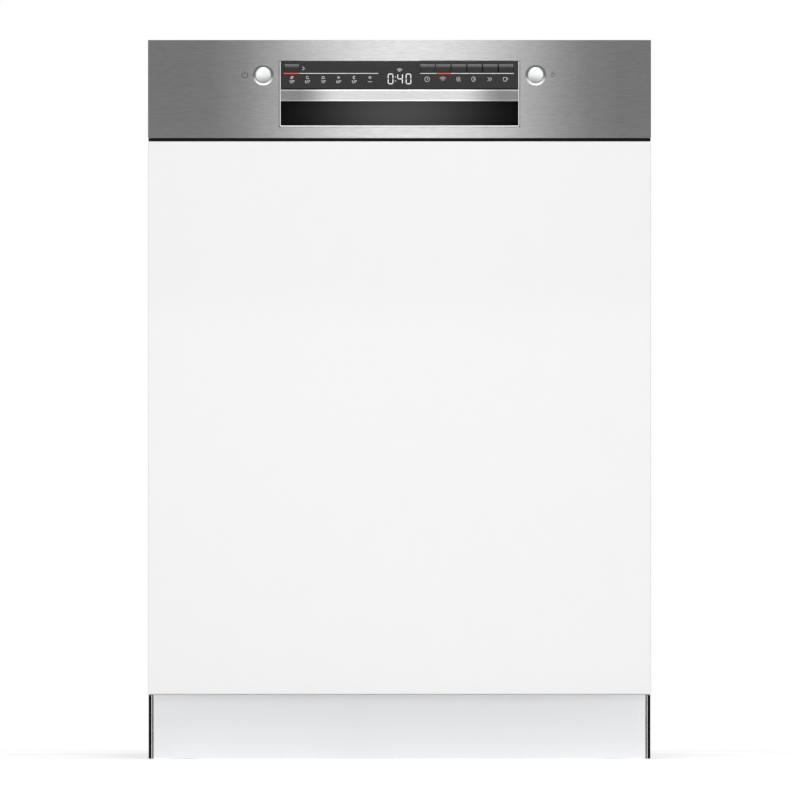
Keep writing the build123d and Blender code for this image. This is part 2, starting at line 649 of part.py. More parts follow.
def console_housing():
    """Moulded carrier behind the fascia with the grip pocket, roof and rear strip."""
    y0, y1 = CARRIER_Y, CARRIER_Y + CARRIER_T
    rear0, rear1 = LINER_Y - 4, LINER_Y - 1.5
    z0, z1 = CONSOLE_Z + 2, HEIGHT - FASCIA_T - 0.2
    half = W2 - 3
    gx, gz1 = WINDOW_HALF, GLASS_Z0 - 0.3

    def side(s):
        plate = block(s * gx, s * half, y0, y1, z0, z1)
        return plate - rod_y(s * ROUND_X, y0, y1, ROUND_Z, STEM_R + RUN_FIT)

    centre = block(-gx, gx, y0, y1, gz1, z1)
    for x in key_positions():
        centre -= block(x - 2.8, x + 2.8, y0, y1, KEY_Z - 2.0, KEY_Z + 2.0)
    centre -= block(-DISPLAY_HALF - 0.5, DISPLAY_HALF + 0.5, y0, y1, DISPLAY_Z0 - 0.5, DISPLAY_Z1 + 0.5)
    lower = block(-gx, gx, y0, y1, z0, RECESS_Z0)
    back = y0 + GRIP_DEPTH
    wall = CARRIER_T
    pocket = [
        block(-gx - wall, gx + wall, back - wall, back, RECESS_Z0 - wall, gz1 + wall),
        block(-gx - wall, -gx, y1, back - wall, RECESS_Z0 - wall, gz1 + wall),
        block(gx, gx + wall, y1, back - wall, RECESS_Z0 - wall, gz1 + wall),
        block(-gx, gx, y1, back - wall, gz1, gz1 + wall),
        block(-gx, gx, y1, back - wall, RECESS_Z0 - wall, RECESS_Z0),
    ]
    roof = block(-half, half, y1, rear1, z1 - 2, z1)
    strip_z0 = LINER_Z1 + 0.7
    rear = [
        block(-half + 3, -18, rear0, rear1, strip_z0, z1 - 2),
        block(18, half - 3, rear0, rear1, strip_z0, z1 - 2),
    ]
    ends = both_sides(lambda s: block(s * (half - 2.4), s * half, y1, rear0, z0, z1 - 2))
    return Compound([*both_sides(side), centre, lower, *pocket, roof, *rear, *ends])


def console_trim():
    """Dark strip between the console and the front panel."""
    return block(-W2 + 0.5, W2 - 0.5, FACE_Y + 2.3, FACE_Y + 18, PANEL_Z1 + 0.3, CONSOLE_Z - 0.3)


def display_window():
    """Dark glass of the key panel with cut-outs for the keys."""
    y0, y1 = GLASS_Y, GLASS_Y + GLASS_T
    glass = block(-WINDOW_HALF + 0.3, WINDOW_HALF - 0.3, y0, y1, GLASS_Z0 + 0.2, RECESS_Z1 - 0.3)
    dx, dz = KEY_W / 2 + KEY_GAP, KEY_H / 2 + KEY_GAP
    glass -= block(PROGRAM_KEY_X - dx, PROGRAM_KEY_X + dx, y0, y1, KEY_Z - dz, KEY_Z + dz)
    last = OPTION_KEY_X + (OPTION_KEYS - 1) * KEY_PITCH
    return glass - block(OPTION_KEY_X - dx, last + dx, y0, y1, KEY_Z - dz, KEY_Z + dz)


def grip_bar():
    """Bar across the window that fingers pull from behind."""
    z1 = GLASS_Z0 - 0.4
    y0 = FACE_Y + 0.5
    bar = block(-WINDOW_HALF, WINDOW_HALF, y0, y0 + GRIP_BAR_DEPTH, z1 - GRIP_BAR_H, z1)
    front = bar.faces().sort_by(Axis.Y)[0].edges().filter_by(Axis.X)
    bar = fillet(front, 2.0)
    rear = bar.faces().sort_by(Axis.Y)[-1].edges().filter_by(Axis.X)
    return fillet(rear, 1.5)


def display_board():
    """Circuit board behind the key panel with the digit display and key switches."""
    y0, y1 = BOARD_Y, BOARD_Y + BOARD_T
    board = block(-ROUND_X - 16, ROUND_X + 16, y0, y1, HEIGHT - 53, HEIGHT - 22)
    display = block(-DISPLAY_HALF, DISPLAY_HALF, FACE_Y + 6.8, y0, DISPLAY_Z0, DISPLAY_Z1)
    switches = [block(x - 3, x + 3, y0 - 1.3, y0, KEY_Z - 3, KEY_Z + 3) for x in key_positions()]
    return Compound([board, display, *switches])


def key(x):
    """Rectangular key: cap and guided stem."""
    back = KEY_FACE_Y + KEY_CAP_T
    cap = Pos(x, KEY_FACE_Y + KEY_CAP_T / 2, KEY_Z) * Box(KEY_W, KEY_CAP_T, KEY_H)
    cap = fillet(cap.faces().sort_by(Axis.Y)[0].edges(), 0.5)
    return cap + block(x - 2.5, x + 2.5, back, BOARD_Y - 3.0, KEY_Z - 1.7, KEY_Z + 1.7)


def round_button(x):
    """Round button: shallow cap and guided stem."""
    cap = rod_y(x, -D2, -D2 + BUTTON_CAP_T, ROUND_Z, ROUND_R)
    cap = fillet(cap.edges().filter_by(GeomType.CIRCLE).sort_by(Axis.Y)[0], 1.0)
    return cap + rod_y(x, -D2 + BUTTON_CAP_T, BOARD_Y - 2.0, ROUND_Z, STEM_R)


def dispenser_body():
    """Detergent and rinse aid dispenser let into the door's inner face."""
    y1 = LINER_Y + DISP_PROUD
    x, z = DISP_HALF_X + 6, DISP_HALF_Z + 5
    body = block(-x, x, LINER_Y, y1, DISP_Z - z, DISP_Z + z)
    x, z = DISP_HALF_X, DISP_HALF_Z
    body += block(-x, x, LINER_Y - DISP_DEPTH, LINER_Y, DISP_Z - z, DISP_Z + z)
    z = LID_HALF_Z - 6
    body -= block(LID_X0 + 6, LID_X1 - 6, y1 - DISP_DEPTH + 4, y1, DISP_Z - z, DISP_Z + z)
    return body - rod_y(CAP_X, y1 - 22, y1, DISP_Z, CAP_PLUG_R + RUN_FIT)


def detergent_lid():
    """Sliding lid over the detergent chamber, with a finger ridge."""
    y0 = LINER_Y + DISP_PROUD + 0.2
    lid = block(LID_X0, LID_X1, y0, y0 + 3, DISP_Z - LID_HALF_Z, DISP_Z + LID_HALF_Z)
    lid = fillet(lid.edges().filter_by(Axis.Y), 6)
    ridge_z = DISP_Z + LID_HALF_Z - 18
    return lid + block(LID_X0 + 20, LID_X1 - 20, y0 + 3, y0 + 5, ridge_z, ridge_z + 5)


def rinse_aid_cap():
    """Rinse aid filler cap: knob, rib and plug."""
    y0 = LINER_Y + DISP_PROUD + 0.3
    cap = rod_y(CAP_X, y0, y0 + 4, DISP_Z, 20) + rod_y(CAP_X, y0 - 14, y0, DISP_Z, CAP_PLUG_R)
    return cap + block(CAP_X - 16, CAP_X + 16, y0 + 4, y0 + 7, DISP_Z - 3, DISP_Z + 3)


def door_latch():
    """Latch body with the slot that takes the striker tongue."""
    z0, z1 = LINER_Z1 + 0.5, HEIGHT - 4.2
    latch = block(-17, 17, LINER_Y - 44, LINER_Y - 4.3, z0, z1)
    return latch - block(-12.5, 12.5, LINER_Y - 34, LINER_Y - 4.3, STRIKER_Z - 4, STRIKER_Z + 7)


# Racks, rails, arms


def rail_rollers():
    """Rollers on the tub walls that carry the upper rack's rails."""
    rollers = []
    for y in (RACK_Y0 + 15, RACK_Y0 + 95):
        for dz in (-1, 1):
            z = RAIL_Z + dz * (RAIL_H / 2 + 0.5 + ROLLER_R)
            for s in (-1, 1):
                wheel = rod_x(s * (RAIL_X0 + 2), s * (RAIL_X1 - 2), y, z, ROLLER_R)
                rollers.append(wheel + rod_x(s * (RAIL_X1 - 2), s * TUB_IN, y, z, 3.0))
    return Compound(rollers)


def upper_rails():
    """Channel rails, open towards the rack, one on each side."""
    z0, z1 = RAIL_Z - RAIL_H / 2, RAIL_Z + RAIL_H / 2
    y0, y1 = RACK_Y0, RACK_Y1 + 12

    def one(s):
        web = block(s * (RAIL_X1 - RAIL_SHEET), s * RAIL_X1, y0, y1, z0, z1)
        inner = s * (RAIL_X1 - RAIL_SHEET)
        low = block(s * RAIL_X0, inner, y0, y1, z0, z0 + RAIL_SHEET)
        high = block(s * RAIL_X0, inner, y0, y1, z1 - RAIL_SHEET, z1)
        return [web, low, high]

    return Compound([p for side in both_sides(one) for p in side])


def upper_basket():
    """Upper rack: mesh box, rail wheels, cup shelf lugs and the arm's feed tube."""
    solids = rack_box(UPPER_HALF, UPPER_Z, UPPER_H)
    for y in (RACK_Y0 + 198, RACK_Y1 - 12):
        for s in (-1, 1):
            hub = rod_x(s * UPPER_HALF, s * (RAIL_X0 + 1.6), y, RAIL_Z, 6)
            wheel = rod_x(s * (RAIL_X0 + 1.6), s * (RAIL_X1 - RAIL_SHEET - 0.8), y, RAIL_Z, 8.4)
            solids.append(hub + wheel)
    for y0, y1 in ((SHELF_Y0 - 8, SHELF_Y0 - 0.3), (SHELF_Y1 + 0.3, SHELF_Y1 + 8)):
        lug = block(-UPPER_HALF + BAR, SHELF_X + 4, y0, y1, SHELF_Z - 5, SHELF_Z + 5)
        solids.append(lug - rod_y(SHELF_X, y0, y1, SHELF_Z, SHELF_PIN_R + RUN_FIT))
    z0, z1 = UPPER_Z - 12, UPPER_Z
    solids.append(block(-14, 14, HUB_Y, RACK_Y1, z0, z1))
    solids.append(rod_y(0, RACK_Y1, RACK_Y1 + 12, UPPER_Z - 6, 8))
    post = rod_z(0, HUB_Y, UPPER_ARM_Z - 1, z0, UPPER_PIN_R)
    post += rod_z(0, HUB_Y, UPPER_ARM_Z + ARM_T + 1, z0, 14)
    solids.append(post + rod_z(0, HUB_Y, UPPER_ARM_Z - 4, UPPER_ARM_Z - 1, 10))
    for y in (RACK_Y0 + 90, RACK_Y0 + 230, RACK_Y0 + 320):
        solids.append(tine_comb(20, UPPER_HALF - 20, y, UPPER_Z + BAR + TINE_R, TINES, 60))
    return Compound(solids)


def spray_arm(x, y, z, radius, pin_r):
    """Spray arm: long flat blade with round ends, bored for its pin."""
    outline = SlotOverall(2 * radius, 44) + Circle(26)
    arm = Pos(x, y, z) * extrude(outline, ARM_T)
    arm = chamfer(arm.edges().group_by(Axis.Z)[-1], 2.5)
    return arm - rod_z(x, y, z, z + ARM_T, pin_r + RUN_FIT)


def cup_shelf():
    """Folding shelf for cups on its hinge wire."""
    shelf = mesh_floor(SHELF_X, SHELF_X + SHELF_W, SHELF_Y0, SHELF_Y1, SHELF_Z - BAR / 2)
    front = rod_y(SHELF_X, SHELF_Y0 - 8, SHELF_Y0, SHELF_Z, SHELF_PIN_R)
    rear = rod_y(SHELF_X, SHELF_Y1, SHELF_Y1 + 8, SHELF_Z, SHELF_PIN_R)
    return Compound([shelf, front, rear])


def lower_basket():
    """Lower rack: mesh box, wheel legs with axles, fixed tines and tine lugs."""
    solids = rack_box(LOWER_HALF, LOWER_Z, LOWER_H)
    for y in (WHEEL_FRONT_Y, WHEEL_REAR_Y):
        for s in (-1, 1):
            x0, x1 = LOWER_HALF + LEG_T, LOWER_HALF + AXLE_L
            leg = block(s * LOWER_HALF, s * x0, y - 10, y + 10, WHEEL_Z - 10, LOWER_Z + 12)
            leg += rod_x(s * x0, s * x1, y, WHEEL_Z, AXLE_R)
            leg += rod_x(s * (x1 - 2.5), s * x1, y, WHEEL_Z, AXLE_R + 3)
            solids.append(leg)
    z = LOWER_Z + BAR
    for y in (RACK_Y0 + 60, RACK_Y0 + 130, RACK_Y0 + 190, RACK_Y1 - 65, RACK_Y1 - 25):
        x1 = -30 if y < TINE_Y else LOWER_HALF - 20
        solids.append(tine_comb(-LOWER_HALF + 10, x1, y, z + TINE_R, TINES, TINE_H))
    for x in (TINE_X0 - 4.3, TINE_X1 + 0.3):
        lug = block(x, x + 4, TINE_Y - 5, TINE_Y + 5, z, TINE_Z + 4.5)
        solids.append(lug - rod_x(x, x + 4, TINE_Y, TINE_Z, SHELF_PIN_R + RUN_FIT))
    return Compound(solids)


def lower_tines():
    """Fold-down row of tines turning in its two lugs."""
    comb = tine_comb(TINE_X0, TINE_X1, TINE_Y, TINE_Z, TINES, TINE_H, SHELF_PIN_R)
    for x0, x1 in ((TINE_X0 - 4.3, TINE_X0), (TINE_X1, TINE_X1 + 4.3)):
        comb += rod_x(x0, x1, TINE_Y, TINE_Z, SHELF_PIN_R)
    return comb


def wheel_pair(y):
    """Left and right rack wheels on one axis."""

    def one(s):
        x0, x1 = s * (LOWER_HALF + 5), s * (LOWER_HALF + 17)
        return rod_x(x0, x1, y, WHEEL_Z, WHEEL_R) - rod_x(x0, x1, y, WHEEL_Z, AXLE_R + RUN_FIT)

    return Compound(both_sides(one))


def cutlery_basket():
    """Moulded cutlery basket with pockets and a carrying handle."""
    x0, x1 = -20.0, LOWER_HALF - 12
    y0, y1 = RACK_Y0 + 8, RACK_Y0 + 50
    z0, z1 = LOWER_Z + BAR + 0.4, LOWER_Z + 118
    t = 2.2
    pockets = 4
    solids = [block(x0, x1, y0, y1, z0, z0 + t)]
    for y in (y0, y1 - t):
        wall = block(x0, x1, y, y + t, z0 + t, z1)
        slots = 12
        for i in range(slots):
            xs = x0 + 12 + i * (x1 - x0 - 24) / (slots - 1)
            wall -= block(xs - 4, xs + 4, y, y + t, z0 + 14, z1 - 22)
        solids.append(wall)
    for i in range(pockets + 1):
        x = x0 + i * (x1 - x0 - t) / pockets
        solids.append(block(x, x + t, y0 + t, y1 - t, z0 + t, z1))
    xm = (x0 + x1) / 2
    ym = (y0 + y1) / 2
    for s in (-1, 1):
        solids.append(block(xm + s * 45, xm + s * 53, ym - 3, ym + 3, z1, z1 + 45))
    solids.append(block(xm - 53, xm + 53, ym - 5, ym + 5, z1 + 45, z1 + 53))
    return Compound(solids)


PARTS = {
    "base_tray": base_tray,
    "hinge_brackets": hinge_brackets,
    "tub": tub,
    "door_gasket": door_gasket,
    "side_panels": side_panels,
    "back_panel": back_panel,
    "top_cover": top_cover,
    "plinth_panel": plinth_panel,
    "plinth_end_trims": plinth_end_trims,
    "sump": sump,
    "fine_filter": fine_filter,
    "filter_cylinder": filter_cylinder,
    "salt_container": salt_container,
    "salt_cap": salt_cap,
    "circulation_pump": circulation_pump,
    "drain_pump": drain_pump,
    "heat_exchanger": heat_exchanger,
    "control_module": control_module,
    "inlet_valve": inlet_valve,
    "mains_socket": mains_socket,
    "feed_pipe": feed_pipe,
    "rail_rollers": rail_rollers,
    "front_left_foot": lambda: foot(*FEET[0]),
    "front_right_foot": lambda: foot(*FEET[1]),
    "rear_foot": lambda: foot(*FEET[2]),
    "furniture_panel": furniture_panel,
    "door_outer_panel": door_outer_panel,
    "door_inner_liner": door_inner_liner,
    "hinge_arms": hinge_arms,
    "door_screws": door_screws,
    "lower_door_seal": lower_door_seal,
    "console_fascia": console_fascia,
    "console_housing": console_housing,
    "console_trim": console_trim,
    "display_window": display_window,
    "grip_bar": grip_bar,
    "display_board": display_board,
    "door_latch": door_latch,
    "dispenser_body": dispenser_body,
    "detergent_lid": detergent_lid,
    "rinse_aid_cap": rinse_aid_cap,
    "power_button": lambda: round_button(-ROUND_X),
    "start_button": lambda: round_button(ROUND_X),
    "program_button": lambda: key(PROGRAM_KEY_X),
    "upper_rails": upper_rails,
    "upper_basket": upper_basket,
    "upper_spray_arm": lambda: spray_arm(0, HUB_Y, UPPER_ARM_Z, SPRAY_R - 15, UPPER_PIN_R),
    "cup_shelf": cup_shelf,
    "lower_basket": lower_basket,
    "lower_tines": lower_tines,
    "cutlery_basket": cutlery_basket,
    "lower_spray_arm": lambda: spray_arm(0, HUB_Y, LOWER_ARM_Z, SPRAY_R, LOWER_PIN_R),
    "lower_wheels_front": lambda: wheel_pair(WHEEL_FRONT_Y),
    "lower_wheels_rear": lambda: wheel_pair(WHEEL_REAR_Y),
}


def main():
    os.makedirs("parts", exist_ok=True)
    for name, make in PARTS.items():
        export_step(make(), f"parts/{name}.step")
    for i in range(OPTION_KEYS):
        export_step(key(OPTION_KEY_X + i * KEY_PITCH), f"parts/option_button_{i + 1}.step")


if __name__ == "__main__":
    main()
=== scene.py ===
"""Built-in dishwasher: finish, wire racks, seals, marks and studio.

Metres, +Z up, the door faces -Y. The solid frame is loaded first, and each piece takes its place
from it.
"""

import bmesh
import bpy
import numpy as np
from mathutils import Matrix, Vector


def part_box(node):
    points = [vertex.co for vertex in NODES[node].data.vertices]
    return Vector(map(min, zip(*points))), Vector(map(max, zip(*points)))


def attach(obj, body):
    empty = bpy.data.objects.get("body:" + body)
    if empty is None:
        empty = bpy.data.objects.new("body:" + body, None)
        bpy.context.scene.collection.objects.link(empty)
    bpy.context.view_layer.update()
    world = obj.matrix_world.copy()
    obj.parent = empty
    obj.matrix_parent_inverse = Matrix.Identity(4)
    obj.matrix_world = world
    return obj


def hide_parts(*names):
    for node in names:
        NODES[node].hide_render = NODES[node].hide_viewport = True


bl_info = {
    "name": "Dishwasher Workshop",
    "version": (1, 0, 0),
    "blender": (4, 5, 0),
    "location": "3D View > Sidebar > Dishwasher",
    "description": "Builds the visible pieces of a built-in dishwasher and its studio",
    "category": "Object",
}

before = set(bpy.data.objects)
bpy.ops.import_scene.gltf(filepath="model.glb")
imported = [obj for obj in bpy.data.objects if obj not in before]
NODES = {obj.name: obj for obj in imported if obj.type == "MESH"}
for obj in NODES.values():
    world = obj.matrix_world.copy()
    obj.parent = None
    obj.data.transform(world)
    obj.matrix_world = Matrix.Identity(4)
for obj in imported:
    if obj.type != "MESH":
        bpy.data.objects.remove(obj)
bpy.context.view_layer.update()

TAU = 2.0 * np.pi
MM = 0.001
SHEET = 0.2 * MM  # least thickness of a pressed field
CORE = 0.2 * MM  # radius of the hair-thin bore that keeps a turned body closed


def corners_of(node):
    """Low and high corner of a solid node's box."""
    lo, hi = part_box(node)
    return np.array(lo), np.array(hi)


# Boxes of the solid frame's pieces
CONSOLE_LO, CONSOLE_HI = corners_of("console_fascia")
GLASS_LO, GLASS_HI = corners_of("display_window")
PANEL_LO, PANEL_HI = corners_of("furniture_panel")
PLINTH_LO, PLINTH_HI = corners_of("plinth_panel")
TUB_LO, TUB_HI = corners_of("tub")
LINER_LO, LINER_HI = corners_of("door_inner_liner")
FACE_Y = CONSOLE_LO[1]


# Meshes


def mesh_object(name, verts, faces, smooth=35.0):
    """Object from vertex and face arrays, normals outward, smooth below an angle."""
    mesh = bpy.data.meshes.new(name)
    starts, loops, count = [], [], 0
    for group in faces:
        group = np.asarray(group)
        n, k = group.shape
        starts.append(count + np.arange(n) * k)
        loops.append(group.ravel())
        count += n * k
    starts, loops = np.concatenate(starts), np.concatenate(loops)
    mesh.vertices.add(len(verts))
    mesh.vertices.foreach_set("co", np.asarray(verts, np.float32).ravel())
    mesh.loops.add(len(loops))
    mesh.loops.foreach_set("vertex_index", loops.astype(np.int32))
    mesh.polygons.add(len(starts))
    mesh.polygons.foreach_set("loop_start", starts.astype(np.int32))
    mesh.update(calc_edges=True)
    mesh.validate()
    bm = bmesh.new()
    bm.from_mesh(mesh)
    bmesh.ops.recalc_face_normals(bm, faces=bm.faces)
    bm.to_mesh(mesh)
    bm.free()
    mesh.polygons.foreach_set("use_smooth", np.ones(len(mesh.polygons), bool))
    mesh.set_sharp_from_angle(angle=np.radians(smooth))
    obj = bpy.data.objects.new(name, mesh)
    bpy.context.scene.collection.objects.link(obj)
    return obj


def skin(name, rings, looped=False, smooth=35.0):
    """Tubes through rings of points, shape (tubes, rings, sides, 3); open tubes get end caps."""
    rings = np.asarray(rings, float)
    n, m, s, _ = rings.shape
    index = np.arange(n * m * s).reshape(n, m, s)
    after = np.roll(index, -1, axis=2)
    low, high = (index, np.roll(index, -1, axis=1)) if looped else (index[:, :-1], index[:, 1:])
    low2, high2 = (after, np.roll(after, -1, axis=1)) if looped else (after[:, :-1], after[:, 1:])
    faces = [np.stack([low, low2, high2, high], axis=-1).reshape(-1, 4)]
    if not looped:
        faces.append(index[:, 0])
        faces.append(index[:, -1, ::-1])
    return mesh_object(name, rings.reshape(-1, 3), faces, smooth)


def tubes(name, paths, radius, side, sides=8, looped=False, flat=1.0):
    """Round wires: a circle carried along each path, its first axis square to path and side."""
    paths = np.asarray(paths, float)
    if looped:
        tangent = np.roll(paths, -1, axis=1) - np.roll(paths, 1, axis=1)
    else:
        tangent = np.gradient(paths, axis=1)
    tangent /= np.linalg.norm(tangent, axis=2, keepdims=True)
    second = np.broadcast_to(np.asarray(side, float), tangent.shape)
    first = np.cross(tangent, second)
    first /= np.linalg.norm(first, axis=2, keepdims=True)
    second = np.cross(tangent, first)
    a = np.arange(sides) * TAU / sides
    ring = (
        paths[:, :, None]
        + radius * np.cos(a)[:, None] * first[:, :, None]
        + radius * flat * np.sin(a)[:, None] * second[:, :, None]
    )
    return skin(name, ring, looped, 60.0)


def lathe(name, centre, axis, profile, sides=48):
    """Closed turned body: a looped profile of (along, radius) pairs swept about an axis."""
    profile = np.asarray(profile, float)
    axis = np.asarray(axis, float)
    ref = np.array([0.0, 0.0, 1.0]) if abs(axis[2]) < 0.5 else np.array([1.0, 0.0, 0.0])
    u = np.cross(axis, ref)
    u /= np.linalg.norm(u)
    v = np.cross(axis, u)
    a = np.arange(sides) * TAU / sides
    radial = np.cos(a)[:, None] * u + np.sin(a)[:, None] * v
    rings = np.asarray(centre) + profile[:, None, :1] * axis + profile[:, None, 1:] * radial
    return skin(name, rings.transpose(1, 0, 2)[None], True, 30.0)


def slab(name, front, back, smooth=35.0):
    """Closed plate between two grids of points of the same shape."""
    nu, nv, _ = front.shape
    f = np.arange(nu * nv).reshape(nu, nv)
    b = f + nu * nv

    def quads(g):
        return np.stack([g[:-1, :-1], g[1:, :-1], g[1:, 1:], g[:-1, 1:]], axis=-1).reshape(-1, 4)

    def strip(p, q):
        return np.stack([p[:-1], p[1:], q[1:], q[:-1]], axis=-1)

    faces = [quads(f), quads(b)[:, ::-1]]
    faces += [strip(f[0], b[0]), strip(b[-1], f[-1]), strip(b[:, 0], f[:, 0]), strip(f[:, -1], b[:, -1])]
    return mesh_object(name, np.concatenate([front.reshape(-1, 3), back.reshape(-1, 3)]), faces, smooth)


def rounded_path(corners, radius, steps=6, closed=False):
    """Polyline through corners with each inner corner turned on a quadratic curve."""
    corners = np.asarray(corners, float)
    n = len(corners)
    points = [] if closed else [corners[:1]]
    t = np.linspace(0.0, 1.0, steps)[:, None]
    for i in range(n) if closed else range(1, n - 1):
        p, c, q = corners[i - 1], corners[i], corners[(i + 1) % n]
        a = c + (p - c) / np.linalg.norm(p - c) * radius
        b = c + (q - c) / np.linalg.norm(q - c) * radius
        points.append((1 - t) ** 2 * a + 2 * t * (1 - t) * c + t**2 * b)
    if not closed:
        points.append(corners[-1:])
    return np.concatenate(points)


def smooth_step(x):
    """Soft step from 0 to 1."""
    x = np.clip(x, 0.0, 1.0)
    return x * x * (3.0 - 2.0 * x)


def pillow(name, lo, hi, axis, proud, edge, nu=90, nv=90, fields=None):
    """Pressed sheet standing proud of a wall: height = proud x soft steps from each border."""
    axes = [i for i in range(3) if i != axis]
    u = np.linspace(lo[axes[0]], hi[axes[0]], nu)[:, None] * np.ones((1, nv))
    v = np.linspace(lo[axes[1]], hi[axes[1]], nv)[None, :] * np.ones((nu, 1))
    rise = smooth_step((u - u.min()) / edge) * smooth_step((u.max() - u) / edge)
    rise *= smooth_step((v - v.min()) / edge) * smooth_step((v.max() - v) / edge)
    for c, half, depth in fields or ():
        inside = smooth_step((half[0] - np.abs(u - c[0])) / edge)
        inside *= smooth_step((half[1] - np.abs(v - c[1])) / edge)
        rise = rise - depth * inside
    front = np.zeros((nu, nv, 3))
    front[..., axes[0]], front[..., axes[1]] = u, v
    back = front.copy()
    front[..., axis] = lo[axis] + proud * rise + np.sign(proud) * SHEET
    back[..., axis] = lo[axis]
    return slab(name, front, back)


# Materials: every one is a small node network on object coordinates


def surface(
    name, colour, rough, metal=0.0, scale=60.0, grain=(1.0, 1.0, 1.0), tint=0.05, vary=0.08,
    bump=0.15, depth=0.0002, aniso=0.0, turn=0.0, coat=0.0, painted_light=None, detail=4.0,
):
    """Noise in object space tints the colour, varies the roughness and lifts a fine bump.

    A ramp of painted light and shade, given as (axis, stops) in metres along one axis, multiplies the
    colour.
    """
    mat = bpy.data.materials.new(name)
    mat.use_nodes = True
    nodes, links = mat.node_tree.nodes, mat.node_tree.links
    shader = nodes["Principled BSDF"]
    coords = nodes.new("ShaderNodeTexCoord")
    mapping = nodes.new("ShaderNodeMapping")
    mapping.inputs["Scale"].default_value = grain
    noise = nodes.new("ShaderNodeTexNoise")
    noise.inputs["Scale"].default_value = scale
    noise.inputs["Detail"].default_value = detail
    links.new(coords.outputs["Object"], mapping.inputs["Vector"])
    links.new(mapping.outputs["Vector"], noise.inputs["Vector"])
    ramp = nodes.new("ShaderNodeValToRGB")
    ramp.color_ramp.elements[0].position = 0.25
    ramp.color_ramp.elements[1].position = 0.75
    dark = [max(0.0, c * (1.0 - tint)) for c in colour]
    light = [min(1.0, c * (1.0 + tint)) for c in colour]
    ramp.color_ramp.elements[0].color = (*dark, 1.0)
    ramp.color_ramp.elements[1].color = (*light, 1.0)
    links.new(noise.outputs["Fac"], ramp.inputs["Fac"])
    colour_out = ramp.outputs["Color"]
    if painted_light:
        colour_out = paint_light_ramp(nodes, links, coords, colour_out, *painted_light)
    links.new(colour_out, shader.inputs["Base Color"])
    spread = nodes.new("ShaderNodeMapRange")
    spread.inputs["To Min"].default_value = max(0.02, rough - vary)
    spread.inputs["To Max"].default_value = min(1.0, rough + vary)
    links.new(noise.outputs["Fac"], spread.inputs["Value"])
    links.new(spread.outputs["Result"], shader.inputs["Roughness"])
    relief = nodes.new("ShaderNodeBump")
    relief.inputs["Strength"].default_value = bump
    relief.inputs["Distance"].default_value = depth
    links.new(noise.outputs["Fac"], relief.inputs["Height"])
    links.new(relief.outputs["Normal"], shader.inputs["Normal"])
    shader.inputs["Metallic"].default_value = metal
    shader.inputs["Anisotropic"].default_value = aniso
    shader.inputs["Anisotropic Rotation"].default_value = turn
    shader.inputs["Coat Weight"].default_value = coat
    shader.inputs["Coat Roughness"].default_value = 0.06
    return mat


def paint_light_ramp(nodes, links, coords, colour_out, axis, stops):
    """Multiplies a colour by a grey ramp of painted light and shade along one object axis."""
    split = nodes.new("ShaderNodeSeparateXYZ")
    links.new(coords.outputs["Object"], split.inputs["Vector"])
    place = nodes.new("ShaderNodeMapRange")
    place.inputs["From Min"].default_value = stops[0][0]
    place.inputs["From Max"].default_value = stops[-1][0]
    links.new(split.outputs[axis], place.inputs["Value"])
    ramp = nodes.new("ShaderNodeValToRGB")
    ramp.color_ramp.interpolation = "LINEAR"
    span = stops[-1][0] - stops[0][0]
    elements = ramp.color_ramp.elements
    while len(elements) < len(stops):
        elements.new(0.5)
    for element, (at, _) in zip(elements, stops):
        element.position = (at - stops[0][0]) / span
    for element, (_, grey) in zip(elements, stops):
        element.color = (grey, grey, grey, 1.0)
    links.new(place.outputs["Result"], ramp.inputs["Fac"])
    mix = nodes.new("ShaderNodeMix")
    mix.data_type = "RGBA"
    mix.blend_type = "MULTIPLY"
    mix.inputs["Factor"].default_value = 1.0
    links.new(colour_out, mix.inputs[6])
    links.new(ramp.outputs["Color"], mix.inputs[7])
    return mix.outputs[2]


def glow(name, colour, strength, scale=300.0):
    """Lit or printed mark: the colour shines a little unevenly."""
    mat = surface(name, colour, 0.35, scale=scale, tint=0.08, bump=0.02)
    shader = mat.node_tree.nodes["Principled BSDF"]
    ramp = next(n for n in mat.node_tree.nodes if n.bl_idname == "ShaderNodeValToRGB")
    mat.node_tree.links.new(ramp.outputs["Color"], shader.inputs["Emission Color"])
    shader.inputs["Emission Strength"].default_value = strength
    return mat


def perforated(name, colour, pitch):
    """Sheet with a field of round dark holes from a cell texture."""
    mat = surface(name, colour, 0.3, 1.0, scale=200.0, bump=0.05)
    nodes, links = mat.node_tree.nodes, mat.node_tree.links
    shader = nodes["Principled BSDF"]
    coords = next(n for n in nodes if n.bl_idname == "ShaderNodeTexCoord")
    base = next(n for n in nodes if n.bl_idname == "ShaderNodeValToRGB")
    cells = nodes.new("ShaderNodeTexVoronoi")
    cells.inputs["Scale"].default_value = 1.0 / pitch
    cells.inputs["Randomness"].default_value = 0.0
    links.new(coords.outputs["Object"], cells.inputs["Vector"])
    edge = nodes.new("ShaderNodeMapRange")
    edge.inputs["From Min"].default_value = 0.26
    edge.inputs["From Max"].default_value = 0.34
    links.new(cells.outputs["Distance"], edge.inputs["Value"])
    mix = nodes.new("ShaderNodeMix")
    mix.data_type = "RGBA"
    mix.inputs[6].default_value = (0.01, 0.01, 0.01, 1.0)
    links.new(edge.outputs["Result"], mix.inputs["Factor"])
    links.new(base.outputs["Color"], mix.inputs[7])
    links.new(mix.outputs[2], shader.inputs["Base Color"])
    return mat


